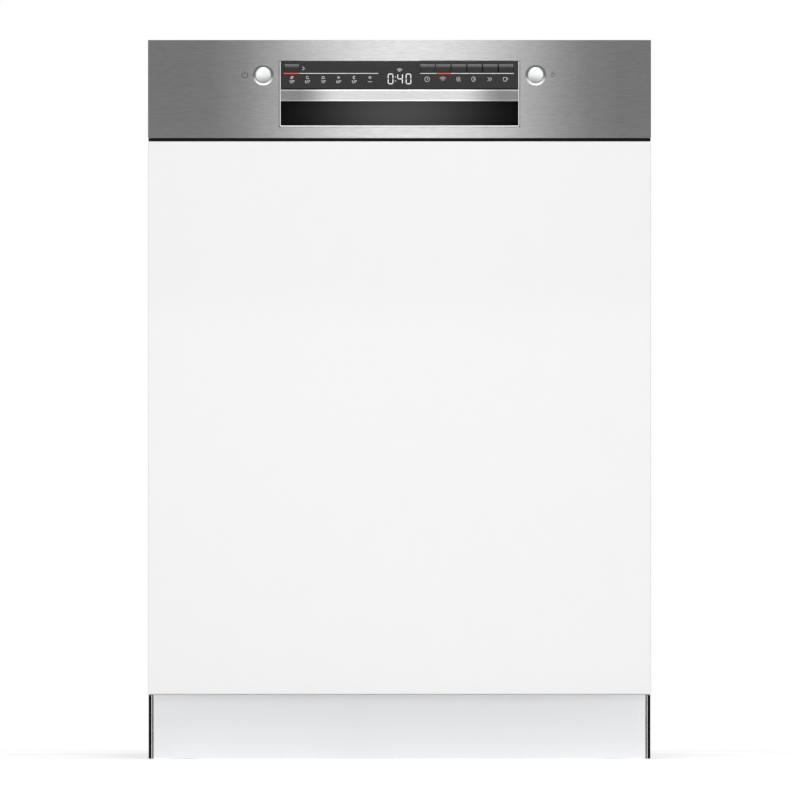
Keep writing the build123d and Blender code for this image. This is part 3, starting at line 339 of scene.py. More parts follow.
def make_materials():
    """All finishes, by name."""
    m = {}
    # Painted reflection: the steel's colour is bright down the middle and darker towards both sides.
    m["steel"] = surface(
        "brushed console steel", (0.925, 0.935, 0.925), 0.34, 1.0, 90.0, (1.0, 1.0, 12.0), 0.11,
        0.05, 0.12, 0.00008, 0.75, painted_light=("X", STEEL_PAINTED_REFLECTION),
    )
    m["lacquer"] = surface(
        "white lacquer", (0.80, 0.80, 0.797), 0.32, 0.0, 420.0, tint=0.006, vary=0.04, bump=0.03,
        depth=0.00004, coat=0.25,
    )
    m["plinth"] = surface(
        "plinth lacquer", (0.925, 0.93, 0.94), 0.42, 0.0, 380.0, tint=0.01, vary=0.04, bump=0.04,
        depth=0.00005,
    )
    m["stainless"] = surface(
        "satin stainless", (0.68, 0.69, 0.70), 0.32, 1.0, 60.0, (1.0, 1.0, 14.0), 0.04, 0.03, 0.03,
        0.00003, 0.3,
    )
    m["galvanised"] = surface(
        "galvanised sheet", (0.56, 0.58, 0.59), 0.42, 0.9, 34.0, tint=0.13, vary=0.12, bump=0.05,
        depth=0.0001, detail=7.0,
    )
    m["zinc"] = surface("zinc plate", (0.55, 0.55, 0.53), 0.34, 1.0, 160.0, tint=0.08)
    m["black"] = surface(
        "black plastic", (0.018, 0.018, 0.019), 0.42, 0.0, 900.0, tint=0.2, bump=0.25, depth=0.0001,
    )
    m["base"] = surface(
        "base plastic", (0.045, 0.045, 0.048), 0.55, 0.0, 500.0, tint=0.15, bump=0.3, depth=0.0002,
    )
    m["grey"] = surface(
        "grey plastic", (0.30, 0.32, 0.34), 0.45, 0.0, 600.0, tint=0.06, bump=0.2, depth=0.0001,
    )
    m["arm"] = surface(
        "light grey plastic", (0.46, 0.48, 0.50), 0.4, 0.0, 600.0, tint=0.05, bump=0.15,
        depth=0.0001,
    )
    m["pale"] = surface(
        "pale plastic", (0.72, 0.74, 0.75), 0.38, 0.0, 500.0, tint=0.03, bump=0.15, depth=0.0001,
    )
    m["blue"] = surface("blue-grey plastic", (0.13, 0.24, 0.42), 0.35, 0.0, 500.0, tint=0.05)
    m["glass"] = surface(
        "key panel gloss", (0.008, 0.008, 0.009), 0.24, 0.0, 260.0, tint=0.1, vary=0.04, bump=0.02,
        depth=0.00003, coat=0.2,
    )
    m["trim"] = surface(
        "matt black strip", (0.004, 0.004, 0.004), 0.62, 0.0, 700.0, tint=0.2, bump=0.2,
        depth=0.0001,
    )
    # Painted light and shade: the pocket's colour is lightest in the middle and falls almost to black
    # towards both ends.
    m["pocket"] = surface(
        "grip pocket plastic", (0.15, 0.15, 0.15), 0.5, 0.0, 800.0, tint=0.1, bump=0.2,
        depth=0.0001, painted_light=("X", POCKET_PAINTED_SHADE),
    )
    # Painted shade: the round buttons' colour is darker towards their bottom.
    m["button"] = surface(
        "blasted aluminium", (0.71, 0.715, 0.72), 0.36, 0.75, 900.0, tint=0.02, vary=0.03,
        bump=0.02, depth=0.00002, painted_light=("Z", BUTTON_PAINTED_SHADE),
    )
    # Painted reflection: the grip's colour is bright over its middle and darker towards both ends.
    m["grip"] = surface(
        "grip aluminium", (0.80, 0.80, 0.80), 0.3, 1.0, 100.0, (1.0, 20.0, 40.0), 0.05, 0.05, 0.08,
        0.00005, 0.6, painted_light=("X", GRIP_PAINTED_REFLECTION),
    )
    m["edge"] = surface(
        "polished edge", (0.93, 0.93, 0.92), 0.25, 0.3, 120.0, tint=0.03, vary=0.03, bump=0.02,
    )
    m["rubber"] = surface(
        "seal rubber", (0.055, 0.055, 0.058), 0.68, 0.0, 700.0, tint=0.12, bump=0.4, depth=0.0002,
    )
    m["wire"] = surface(
        "coated wire", (0.50, 0.52, 0.54), 0.36, 0.0, 300.0, tint=0.05, bump=0.1, depth=0.0001,
        coat=0.2,
    )
    m["board"] = surface("circuit board", (0.02, 0.16, 0.07), 0.4, 0.0, 240.0, tint=0.3, bump=0.1)
    m["tank"] = surface("tank plastic", (0.74, 0.76, 0.77), 0.42, 0.0, 90.0, tint=0.04, bump=0.1)
    m["mesh"] = perforated("filter sheet", (0.62, 0.63, 0.64), 0.0032)
    # Painted light: the key caps' colour is near black at the bottom and lighter towards the top.
    m["key"] = surface(
        "key cap gloss", (0.15, 0.15, 0.152), 0.3, 0.0, 300.0, tint=0.08, vary=0.04, bump=0.02,
        depth=0.00003, painted_light=("Z", KEY_PAINTED_LIGHT),
    )
    # Painted highlight and shade: the button rings and seats are bright at the bottom and darker towards
    # the top.
    m["ring"] = surface(
        "ring metal", (0.93, 0.93, 0.92), 0.3, 0.6, 160.0, tint=0.03, vary=0.04, bump=0.02,
        painted_light=("Z", RING_PAINTED_HIGHLIGHT),
    )
    m["print"] = surface("grey print", (0.055, 0.055, 0.058), 0.5, 0.0, 900.0, tint=0.1)
    m["light"] = glow("lit white mark", (0.82, 0.84, 0.85), 0.35)
    m["dim"] = glow("dim white mark", (0.62, 0.63, 0.64), 0.22)
    m["red"] = glow("lit red mark", (0.75, 0.035, 0.03), 0.45)
    m["floor"] = glow("studio floor", (0.93, 0.93, 0.93), 0.55, 6.0)
    for name, level in (("trim", 0.12), ("pocket", 0.12), ("glass", 0.38), ("key", 0.38)):
        m[name].node_tree.nodes["Principled BSDF"].inputs["Specular IOR Level"].default_value = level
    return m


def bell(half, centre, reach, low):
    """Grey ramp along X: a raised cosine, 1 at the centre and low beyond the reach."""
    x = np.linspace(-half, half, 17)
    t = np.clip(np.abs(x - centre) / reach, 0.0, 1.0)
    return list(zip(x, low + (1.0 - low) * (0.5 + 0.5 * np.cos(np.pi * t))))


def plateau(half, flat, reach, low):
    """Grey ramp along X: 1 out to flat, then a smooth fall to low over the reach."""
    x = np.linspace(-half, half, 25)
    return list(zip(x, 1.0 - (1.0 - low) * smooth_step((np.abs(x) - flat) / reach)))


def climb(node, first, last, start, end):
    """Grey ramp up a node's height: first below the share start, last above end, smooth between."""
    lo, hi = corners_of(node)
    share = np.linspace(0.0, 1.0, 13)
    grey = first + (last - first) * smooth_step((share - start) / (end - start))
    return list(zip(lo[2] + share * (hi[2] - lo[2]), grey))


# Painted reflection band on the console steel: bright down the middle, darker towards the sides.
STEEL_PAINTED_REFLECTION = bell(CONSOLE_HI[0], 0.01, 0.25, 0.24)
# Painted reflection on the grip bar: bright over the middle, darker towards the ends.
GRIP_PAINTED_REFLECTION = plateau(GLASS_HI[0], 0.07, 0.05, 0.35)
# Painted light and shade in the grip pocket: lit in the middle, near black towards the ends.
POCKET_PAINTED_SHADE = bell(GLASS_HI[0], 0.0, 0.14, 0.02)
# Painted light on the key caps: near black in the lower half, full colour towards the top.
KEY_PAINTED_LIGHT = climb("program_button", 0.01, 1.0, 0.5, 1.0)
# Painted highlight and shade on the button rings and seats: bright at the bottom, darker from the middle
# up.
RING_PAINTED_HIGHLIGHT = climb("power_button", 1.0, 0.18, 0.0, 0.5)
# Painted shade on the round buttons: darker towards the bottom.
BUTTON_PAINTED_SHADE = climb("power_button", 0.36, 1.0, 0.0, 0.6)

# Finish of each solid node; the six option keys take the key finish
CAD_FINISH = {
    "console_fascia": "steel", "furniture_panel": "lacquer", "plinth_panel": "plinth",
    "grip_bar": "grip", "power_button": "button", "start_button": "button", "console_trim": "trim",
    "plinth_end_trims": "trim", "console_housing": "pocket", "display_window": "glass",
    "program_button": "key", "display_board": "board", "door_latch": "black",
    "door_outer_panel": "galvanised", "door_inner_liner": "stainless", "hinge_arms": "zinc",
    "hinge_brackets": "zinc", "door_screws": "zinc", "lower_door_seal": "rubber",
    "dispenser_body": "pale", "detergent_lid": "arm", "rinse_aid_cap": "blue", "tub": "stainless",
    "side_panels": "galvanised", "back_panel": "galvanised", "top_cover": "galvanised",
    "base_tray": "base", "door_gasket": "rubber", "sump": "grey", "fine_filter": "mesh",
    "filter_cylinder": "grey", "salt_container": "pale", "salt_cap": "pale",
    "circulation_pump": "base", "drain_pump": "base", "heat_exchanger": "tank",
    "control_module": "pale", "inlet_valve": "pale", "mains_socket": "black", "feed_pipe": "grey",
    "rail_rollers": "arm", "upper_rails": "stainless", "upper_basket": "wire",
    "lower_basket": "wire", "cup_shelf": "wire", "lower_tines": "wire", "cutlery_basket": "grey",
    "upper_spray_arm": "arm", "lower_spray_arm": "arm", "lower_wheels_front": "arm",
    "lower_wheels_rear": "arm", "front_left_foot": "base", "front_right_foot": "base",
    "rear_foot": "base",
}

FINISHES = {}


def finish_with(obj, material):
    """Gives an object one finish."""
    obj.data.materials.clear()
    obj.data.materials.append(FINISHES[material])
    return obj


def place(obj, material, body, slot):
    """Finish and body of a new piece; the slot argument is not used."""
    finish_with(obj, material)
    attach(obj, body)
    return obj


# Console: marks, digits, painted window edge highlight


def marks(name, strokes, y, width, material, slot="white_plastic"):
    """Strokes as flat raised ribbons: polylines of equal length, (n, m, 2) in X and Z."""
    strokes = np.asarray(strokes, float)
    paths = np.zeros((*strokes.shape[:2], 3))
    paths[..., 0], paths[..., 1], paths[..., 2] = strokes[..., 0], y, strokes[..., 1]
    obj = tubes(name, paths, width / 2, (0.0, 1.0, 0.0), 8, flat=0.12e-3 / (width / 2))
    return place(obj, material, "door", slot)


def line(x0, x1, z):
    """Straight level stroke."""
    return [(x0, z), ((x0 + x1) / 2, z), (x1, z)]


SEGMENTS = ("abcdef", "bc", "abged", "abgcd", "fgbc", "afgcd", "afgedc", "abc", "abcdefg", "abcdfg")


def digit(value, x, z, w, h):
    """Strokes of a seven-segment digit centred on x, z."""
    l, r, t, m, b = x - w / 2, x + w / 2, z + h / 2, z, z - h / 2
    g = 0.1 * w
    bars = {
        "a": ((l + g, t), (r - g, t)), "b": ((r, t - g), (r, m + g)), "c": ((r, m - g), (r, b + g)),
        "d": ((l + g, b), (r - g, b)), "e": ((l, m - g), (l, b + g)), "f": ((l, t - g), (l, m + g)),
        "g": ((l + g, m), (r - g, m)),
    }
    strokes = []
    for s in SEGMENTS[value]:
        start, end = bars[s]
        strokes.append([start, tuple((np.array(start) + end) / 2), end])
    return strokes


def arc(x, z, r, start, end, n=17):
    """Points of a circular arc, degrees from +X."""
    a = np.radians(np.linspace(start, end, n))
    return np.stack([x + r * np.cos(a), z + r * np.sin(a)], axis=-1)


# Places on the console front in mm: across from its centre line, and down from its top edge
PROGRAM_X, PROGRAM_PITCH = -127.9, 18.55
OPTION_X, OPTION_PITCH = 32.9, 18.6
KEY_LINE_DROP = 39.7
KEY_LINES = ((-137.2, -25.3), (24.6, 135.8))
RED_LINES = ((-136.9, -118.4), (43.6, 60.9))
DIGITS = ((0, -10.6), (4, 0.7), (0, 10.7))
DIGIT_DROP, DIGIT_W, DIGIT_H = 46.2, 5.6, 11.6
COLON_X = -4.8
WAVES_DROP = 38.2
SIGN_DROP, OPTION_DROP, DEGREES_DROP = 44.6, 46.6, 49.6
SIGN_SIZE, OPTION_SIZE = 1.7, 2.9
CHEVRON_X, CHEVRON_DROP = -114.0, 33.8
POWER_SIGN_X, START_SIGN_X = -183.8, 183.0
WINDOW_DROP = 102.8
SIGN_STROKE = 0.55 * MM
MARK_PROUD = 0.05 * MM  # lit marks stand this far off the key panel


def spot(x, drop):
    """Point on the console front, in mm right of its centre line and below its top edge."""
    return x * MM, CONSOLE_HI[2] - drop * MM


def build_key_lines(settings):
    """Thin lit lines under the keys, with the chosen keys' parts in red."""
    y = GLASS_LO[1] - MARK_PROUD
    w = settings.line_width
    z = spot(0, KEY_LINE_DROP)[1]
    dim = [line(x0 * MM, x1 * MM, z) for x0, x1 in KEY_LINES]
    marks("key_light_lines", dim, y, w, "dim")
    lit = [line(x0 * MM, x1 * MM, z) for x0, x1 in RED_LINES]
    marks("key_red_lines", lit, y - 2 * MARK_PROUD, w * 1.35, "red")


def build_display(settings):
    """Lit digits, their colon and a small wave pictogram."""
    y = GLASS_LO[1] - MARK_PROUD
    w = settings.digit_width
    strokes = []
    for value, x in DIGITS:
        cx, cz = spot(x, DIGIT_DROP)
        strokes += digit(value, cx, cz, DIGIT_W * MM, DIGIT_H * MM)
    marks("display_digits", strokes, y, w, "light")
    cx, cz = spot(COLON_X, DIGIT_DROP)
    dots = [[(cx, cz + s * 2.0 * MM), (cx, cz + s * 2.4 * MM), (cx, cz + s * 2.8 * MM)] for s in (-1, 1)]
    marks("display_colon", dots, y, w * 1.1, "light")
    cx, cz = spot(0.0, WAVES_DROP)
    waves = [arc(cx, cz, r * MM, 40, 140) for r in (1.3, 2.7, 4.1)]
    marks("display_waves", waves, y, SIGN_STROKE, "dim")


def resampled(points, n=33):
    """Even steps along a polyline, found from its running length."""
    p = np.asarray(points, float)
    run = np.concatenate([[0.0], np.cumsum(np.hypot(*np.diff(p, axis=0).T))])
    at = np.linspace(0.0, run[-1], n)
    return np.stack([np.interp(at, run, p[:, k]) for k in (0, 1)], axis=1)




def star(points=5, notch=0.55):
    """Outline of a star of unit size: every second corner is drawn in by the notch."""
    k = np.arange(2 * points + 1)
    reach = 1.0 - notch * (k % 2)
    turn = k * np.pi / points
    return np.stack([reach * np.sin(turn), reach * np.cos(turn)], axis=-1)


# Strokes of each pictogram, in a square that reaches 1 to each side of its centre
PICTOGRAMS = {
    "leaf": [
        [(-0.9, -0.9), (-0.8, 0.1), (-0.1, 0.8), (0.9, 0.9), (0.8, -0.1), (0.1, -0.8), (-0.9, -0.9)],
        [(-0.9, -0.9), (0.4, 0.4)],
    ],
    "turn": [arc(0, 0, 0.9, 40, 330, 33), [(0.35, -0.35), (0.8, -0.4), (1.0, -0.9)]],
    "pot": [
        [(-0.9, 0.4), (-0.9, -0.8), (0.9, -0.8), (0.9, 0.4), (-0.9, 0.4)],
        [(-0.4, 0.85), (0.4, 0.85)],
    ],
    "fast": [[(-0.9, 0.8), (-0.1, 0.0), (-0.9, -0.8)], [(0.0, 0.8), (0.8, 0.0), (0.0, -0.8)]],
    "moon": [arc(0, 0, 1.0, 60, 300, 33), arc(0.5, 0, 0.87, 95, 265, 33)],
    "star": [star()],
    "clock": [arc(0, 0, 1.0, 0, 360, 33), [(0.0, 0.6), (0.0, 0.0), (0.45, 0.0)]],
    "waves": [arc(0, -0.9, r, 45, 135) for r in (0.6, 1.2, 1.8)],
    "warm": [[(x, -0.9), (x + 0.22, -0.4), (x - 0.22, 0.3), (x, 0.9)] for x in (-0.6, 0.0, 0.6)],
    "half": [arc(0, 0, 1.0, 90, 270, 33), [(0.0, -1.0), (0.0, 1.0)], [(0.45, 0.6), (0.45, -0.6)]],
    "cup": [
        [(-0.9, 0.7), (-0.7, -0.8), (0.4, -0.8), (0.6, 0.7), (-0.9, 0.7)],
        arc(0.6, 0.1, 0.4, -80, 80),
    ],
}
PROGRAMS = (("leaf", 50), ("turn", 65), ("pot", 70), ("fast", 60), ("moon", 50), ("star", None))
OPTIONS = ("clock", "waves", "warm", "half", "fast", "cup")


def pictogram(name, x, drop, size):
    """Strokes of one pictogram, size mm to each side of its centre."""
    return [resampled(stroke) * size * MM + spot(x, drop) for stroke in PICTOGRAMS[name]]


def build_key_marks(settings):
    """Generic pictograms and temperatures in rows under the keys, and a chevron by the program key."""
    y = GLASS_LO[1] - MARK_PROUD
    signs, numbers = [], []
    for i, (name, degrees) in enumerate(PROGRAMS):
        x = PROGRAM_X + PROGRAM_PITCH * i
        signs += pictogram(name, x, SIGN_DROP, SIGN_SIZE)
        if degrees is None:
            signs.append(resampled([spot(x - 2.6, DEGREES_DROP), spot(x + 2.6, DEGREES_DROP)]))
            continue
        for k, value in enumerate(divmod(degrees, 10)):
            cx, cz = spot(x - 1.9 + 2.4 * k, DEGREES_DROP)
            numbers += digit(value, cx, cz, 1.3 * MM, 2.7 * MM)
        signs.append(resampled(arc(*spot(x + 2.3, DEGREES_DROP - 1.0), 0.45 * MM, 0, 360)))
    for i, name in enumerate(OPTIONS):
        signs += pictogram(name, OPTION_X + OPTION_PITCH * i, OPTION_DROP, OPTION_SIZE)
    marks("key_signs", signs, y, settings.print_width, "dim")
    marks("key_temperatures", numbers, y, settings.print_width, "dim")
    cx, cz = spot(CHEVRON_X, CHEVRON_DROP)
    chevron = [[(cx - 1.5 * MM, cz + 2.0 * MM), (cx + 1.2 * MM, cz), (cx - 1.5 * MM, cz - 2.0 * MM)]]
    marks("key_chevron", chevron, y, SIGN_STROKE, "dim")


def build_steel_marks(settings):
    """Printed power sign at the left button and a start triangle at the right one."""
    y = FACE_Y - 0.04 * MM
    cx, cz = spot(POWER_SIGN_X, 41.6)
    ring = arc(cx, cz, 3.4 * MM, 125, 415, 33)
    marks("power_sign_ring", [ring], y, 0.95 * MM, "print", "black_plastic")
    bar = [(cx, cz + 0.6 * MM), (cx, cz + 2.4 * MM), (cx, cz + 4.2 * MM)]
    marks("power_sign_bar", [bar], y, 0.95 * MM, "print", "black_plastic")
    cx, cz = spot(START_SIGN_X, 41.4)
    a = 2.6 * MM
    back = cx - a * 0.7
    corners = [(back, cz + a), (cx + a, cz), (back, cz - a), (back, cz + a)]
    marks("start_sign", [corners], y, 0.85 * MM, "print", "black_plastic")


def build_window_edge_highlight(settings):
    """Painted highlight round the console window: a thin bright wire along both sides and the bottom stands
    for the light on the window's chamfered edge.
    """
    x1 = GLASS_HI[0] + 0.15 * MM
    z1, z0 = GLASS_HI[2], CONSOLE_HI[2] - WINDOW_DROP * MM
    r = settings.edge_highlight_radius
    y = FACE_Y + 0.45 * MM
    inset = x1 - r * 0.8
    corners = [(-inset, y, z1), (-inset, y, z0 + r * 0.8), (inset, y, z0 + r * 0.8), (inset, y, z1)]
    obj = tubes("window_edge_highlight", [rounded_path(corners, 1.5 * MM)], r, (0, 1, 0), 10)
    place(obj, "edge", "door", "button_metal")


RING_R = 11.75 * MM


def build_button_rings(settings):
    """Bright turned ring round each round button's hole, and a seat behind it, with painted highlight at
    the bottom and painted shade towards the top.
    """
    for name in ("power_button", "start_button"):
        lo, hi = corners_of(name)
        centre = ((lo[0] + hi[0]) / 2, FACE_Y, (lo[2] + hi[2]) / 2)
        r = RING_R
        profile = [
            (-0.25 * MM, r), (-0.1 * MM, r + 0.5 * MM), (0.05 * MM, r + 0.6 * MM), (0.5 * MM, r - 0.3 * MM),
            (0.25 * MM, r - 0.45 * MM), (-0.1 * MM, r - 0.4 * MM),
        ]
        place(lathe(f"{name}_ring", centre, (0, 1, 0), profile, 96), "ring", "door", "button_metal")
        near, far, inner, outer = 0.8 * MM, 1.3 * MM, 9.8 * MM, 11.15 * MM
        step = [(near, inner), (near, outer), (far, outer), (far, inner)]
        place(lathe(f"{name}_seat", centre, (0, 1, 0), step, 96), "ring", "door", "button_metal")


CAP_T = 3.1 * MM
CAP_DISH = 0.33 * MM
STEM_R = 4.0 * MM


def build_button_caps(settings):
    """Dished faces of the two round buttons: height falls softly towards the middle."""
    for name in ("power_button", "start_button"):
        lo, hi = corners_of(name)
        centre = ((lo[0] + hi[0]) / 2, lo[1], (lo[2] + hi[2]) / 2)
        r = (hi[0] - lo[0]) / 2
        t = np.linspace(0.02, 1.0, 14)
        dish = CAP_DISH * (1 - t**2)
        edge = [(0.9 * MM, r), (0.3 * MM, r - 0.3 * MM), (0.03 * MM, r - 0.9 * MM)]
        face = [(0.05 * MM + d, (r - 1.1 * MM) * q) for d, q in zip(dish[::-1], t[::-1])]
        profile = [(CAP_T, CORE), (CAP_T, r)] + edge + face
        cap = lathe(f"{name}_cap", centre, (0, 1, 0), profile, 96)
        place(cap, "button", name, "button_metal")
        length = hi[1] - lo[1]
        stem = [(CAP_T, CORE), (length, CORE), (length, STEM_R), (CAP_T, STEM_R)]
        place(lathe(f"{name}_stem", centre, (0, 1, 0), stem, 32), "black", name, "black_plastic")
        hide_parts(name)


# Racks, arms and wheels


RACK_LO, RACK_HI = corners_of("lower_basket")
TOP_LO, TOP_HI = corners_of("upper_basket")
WHEEL_ROOM = 20 * MM  # the wheel axles stand out this far beside the lower rack
SHELF_INBOARD = 7.2 * MM
LOWER_DEPTH, UPPER_DEPTH = 140 * MM, 145 * MM
LOWER_HALF = RACK_HI[0] - WHEEL_ROOM
UPPER_HALF = SHELF_INBOARD - corners_of("cup_shelf")[0][0]
RACK_Y0, RACK_Y1 = RACK_LO[1], RACK_HI[1]
LOWER_Z = RACK_HI[2] - LOWER_DEPTH
UPPER_Z = TOP_HI[2] - UPPER_DEPTH
WIRE_INSET = 1.8 * MM  # from a rack's outer face to the middle of its wires
RIM_INSET = 2.6 * MM
BEND_R = 12 * MM
BAND_SHARE = 0.45  # height of the middle band, as a share of the rack's
CORNER_R = 20 * MM
TINE_R, TINE_GAP = 1.5 * MM, 5.0 * MM
TINE_FOOT = 3 * MM
LOWER_TINE_TOP, UPPER_TINE_TOP = 78 * MM, 62 * MM
AXLE_R = 4 * MM
STRAP_X = 1.9 * MM  # middle of a wheel leg, out from the rack's side
CLIP_BORE = 1.86 * MM


def rack_wires(name, half, z0, z1, body, pitch, r):
    """Basket of U-shaped wires both ways, with a heavy rim and a middle band."""
    x, y0, y1 = half - WIRE_INSET, RACK_Y0 + WIRE_INSET, RACK_Y1 - WIRE_INSET
    low, top = z0 + WIRE_INSET, z1 - RIM_INSET
    n = int(round((y1 - y0) / pitch))
    path = rounded_path([(-x, 0, top), (-x, 0, low), (x, 0, low), (x, 0, top)], BEND_R)
    shift = np.linspace(y0 + BEND_R, y1 - BEND_R, n)
    across = path[None] + np.stack([0 * shift, shift, 0 * shift], axis=-1)[:, None]
    m = int(round(2 * x / pitch))
    floor = low + 2 * r
    path = rounded_path([(0, y0, top), (0, y0, floor), (0, y1, floor), (0, y1, top)], BEND_R)
    shift = np.linspace(-x + BEND_R + 2 * MM, x - BEND_R - 2 * MM, m)
    along = path[None] + np.stack([shift, 0 * shift, 0 * shift], axis=-1)[:, None]
    first = tubes(name, across, r, (0, 1, 0), 8)
    place(first, "wire", body, "rack_wire")
    place(tubes(f"{name}_lengthwise", along, r, (1, 0, 0), 8), "wire", body, "rack_wire")
    bands = []
    for z in (top, z0 + BAND_SHARE * (z1 - z0)):
        corners = [(-x, y0, z), (x, y0, z), (x, y1, z), (-x, y1, z)]
        bands.append(rounded_path(corners, CORNER_R, closed=True))
    rims = tubes(f"{name}_rims", bands, r * 1.35, (0, 0, 1), 10, looped=True)
    place(rims, "wire", body, "rack_wire")
    return first


def hairpins(name, xs, ys, z0, z1, body):
    """Rows of hairpin tines, one at each x and y."""
    g = TINE_GAP / 2
    pin = rounded_path([(-g, 0, z0), (-g, 0, z1), (g, 0, z1), (g, 0, z0)], TINE_GAP * 0.45)
    gx, gy = np.meshgrid(xs, ys)
    offset = np.stack([gx.ravel(), gy.ravel(), 0 * gx.ravel()], axis=-1)
    pins = tubes(name, pin[None] + offset[:, None], TINE_R, (0, 1, 0), 8)
    return place(pins, "wire", body, "rack_wire")


def build_lower_rack(settings):
    """Lower rack wires, tines, wheel legs and axles."""
    body = "lower_basket"
    pitch, radius = settings.wire_pitch, settings.wire_radius
    wires = rack_wires("lower_rack_wires", LOWER_HALF, LOWER_Z, RACK_HI[2], body, pitch, radius)
    z0, z1 = LOWER_Z + TINE_FOOT, LOWER_Z + LOWER_TINE_TOP
    left = np.linspace(-LOWER_HALF + 0.022, -0.042, 9)
    hairpins("lower_tines_left", left, RACK_Y0 + np.array([0.060, 0.130, 0.190]), z0, z1, body)
    full = np.linspace(-LOWER_HALF + 0.022, LOWER_HALF - 0.032, 15)
    hairpins("lower_tines_rear", full, RACK_Y1 - np.array([0.065, 0.025]), z0, z1, body)
    for wheel in ("lower_wheels_front", "lower_wheels_rear"):
        lo, hi = corners_of(wheel)
        y, z = (lo[1] + hi[1]) / 2, (lo[2] + hi[2]) / 2
        for s in (-1, 1):
            x0 = s * (LOWER_HALF + 0.0002)
            leg = [
                (0.0, CORE), (0.0, 0.0098), (0.0025, 0.0098), (0.0038, 0.007), (0.0038, AXLE_R),
                (0.0172, AXLE_R), (0.0175, 0.0068), (0.019, 0.0066), (0.0196, 0.0052), (0.0196, CORE),
            ]
            hub = lathe(f"{wheel}_axle_{s}", (x0, y, z), (s, 0, 0), leg, 32)
            place(hub, "grey", body, "wheel_plastic")
            levels = (z + AXLE_R, z + 0.02, LOWER_Z + 0.006, LOWER_Z + 0.012)
            rise = [(x0 + s * STRAP_X, y, level) for level in levels]
            strap = tubes(f"{wheel}_leg_{s}", [rise], 0.0085, (1, 0, 0), 12, flat=0.21)
            place(strap, "grey", body, "wheel_plastic")
    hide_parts("lower_basket")


def build_upper_rack(settings):
    """Upper rack wires, tines, rail wheels, feed tube and dock nozzle."""
    body = "upper_basket"
    pitch, radius = settings.wire_pitch, settings.wire_radius
    wires = rack_wires("upper_rack_wires", UPPER_HALF, UPPER_Z, TOP_HI[2], body, pitch, radius)
    xs = np.linspace(0.032, UPPER_HALF - 0.032, 8)
    ys = RACK_Y0 + np.array([0.090, 0.230, 0.320])
    hairpins("upper_tines", xs, ys, UPPER_Z + TINE_FOOT, UPPER_Z + UPPER_TINE_TOP, body)
    rail_lo, rail_hi = corners_of("upper_rails")
    z = (rail_lo[2] + rail_hi[2]) / 2
    x0, x1 = UPPER_HALF, TOP_HI[0]
    out = x1 - x0
    profile = [
        (0.0, CORE), (0.0, 0.0105), (0.003, 0.0105), (0.0045, 0.006), (out - 0.0105, 0.006),
        (out - 0.0103, 0.0078), (out - 0.0094, 0.0084), (out - 0.001, 0.0084), (out, 0.0076), (out, CORE),
    ]
    for i, y in enumerate((RACK_Y0 + 0.198, RACK_Y1 - 0.012)):
        for s in (-1, 1):
            wheel = lathe(f"rail_wheel_{i}_{s}", (s * x0, y, z), (s, 0, 0), profile, 40)
            place(wheel, "arm", body, "wheel_plastic")
    hub_lo, hub_hi = corners_of("upper_spray_arm")
    hub_y = (hub_lo[1] + hub_hi[1]) / 2
    zt = UPPER_Z - 0.0062
    path = [(0, y, zt) for y in np.linspace(hub_y - 0.010, RACK_Y1, 8)]
    pipe = tubes("upper_feed_tube", [path], 0.0135, (0, 0, 1), 24, flat=0.42)
    place(pipe, "arm", body, "arm_plastic")
    nozzle = [(0.0, 0.0055), (0.0, 0.008), (0.010, 0.008), (0.0118, 0.0068), (0.0118, 0.0055)]
    place(lathe("dock_nozzle", (0, RACK_Y1, zt), (0, 1, 0), nozzle, 32), "arm", body, "arm_plastic")
    drop = UPPER_Z - 0.001 - TOP_LO[2]
    profile = [
        (0.0, CORE), (0.0, 0.014), (0.0125, 0.0135), (0.0128, 0.006), (drop - 0.0035, 0.006),
        (drop - 0.0032, 0.0098), (drop - 0.001, 0.0095), (drop, 0.007), (drop, CORE),
    ]
    post = lathe("upper_hub_post", (0, hub_y, UPPER_Z - 0.001), (0, 0, -1), profile, 40)
    place(post, "arm", body, "arm_plastic")
    shelf_lo, shelf_hi = corners_of("cup_shelf")
    z = (shelf_lo[2] + shelf_hi[2]) / 2
    x = shelf_lo[0] + WIRE_INSET
    profile = [
        (0.0, CLIP_BORE), (0.0, 0.0042), (0.001, 0.005), (0.0064, 0.005), (0.0074, 0.0042),
        (0.0074, CLIP_BORE),
    ]
    for i, y in enumerate((shelf_lo[1] + 0.0002, shelf_hi[1] - 0.0077)):
        clip = lathe(f"shelf_clip_{i}", (x, y, z), (0, 1, 0), profile, 28)
        place(clip, "arm", body, "arm_plastic")
    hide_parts(body)


def build_cup_shelf(settings):
    """Folding shelf: hinge wire, outer rim and level cross wires."""
    lo, hi = corners_of("cup_shelf")
    z = (lo[2] + hi[2]) / 2
    x0, x1 = lo[0] + WIRE_INSET, hi[0] - 2 * MM
    r = 1.6 * MM
    path = [(x0, y, z) for y in np.linspace(lo[1], hi[1], 4)]
    rod = tubes("shelf_hinge_wire", [path], r * 1.1, (0, 0, 1), 10)
    place(rod, "wire", "cup_shelf", "rack_wire")
    y0, y1 = lo[1] + 0.010, hi[1] - 0.010
    rim = rounded_path([(x0, y0, z), (x1, y0, z), (x1, y1, z), (x0, y1, z)], 0.014)
    place(tubes("shelf_rim", [rim], r, (0, 0, 1), 10), "wire", "cup_shelf", "rack_wire")
    t = np.linspace(0, 1, 14)
    ys = np.linspace(y0 + 0.022, y1 - 0.022, 11)
    bars = np.zeros((len(ys), len(t), 3))
    bars[..., 0] = x0 + (x1 - x0) * t
    bars[..., 1] = ys[:, None]
    bars[..., 2] = z
    place(tubes("shelf_bars", bars, 1.2 * MM, (0, 1, 0), 8), "wire", "cup_shelf", "rack_wire")
    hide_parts("cup_shelf")


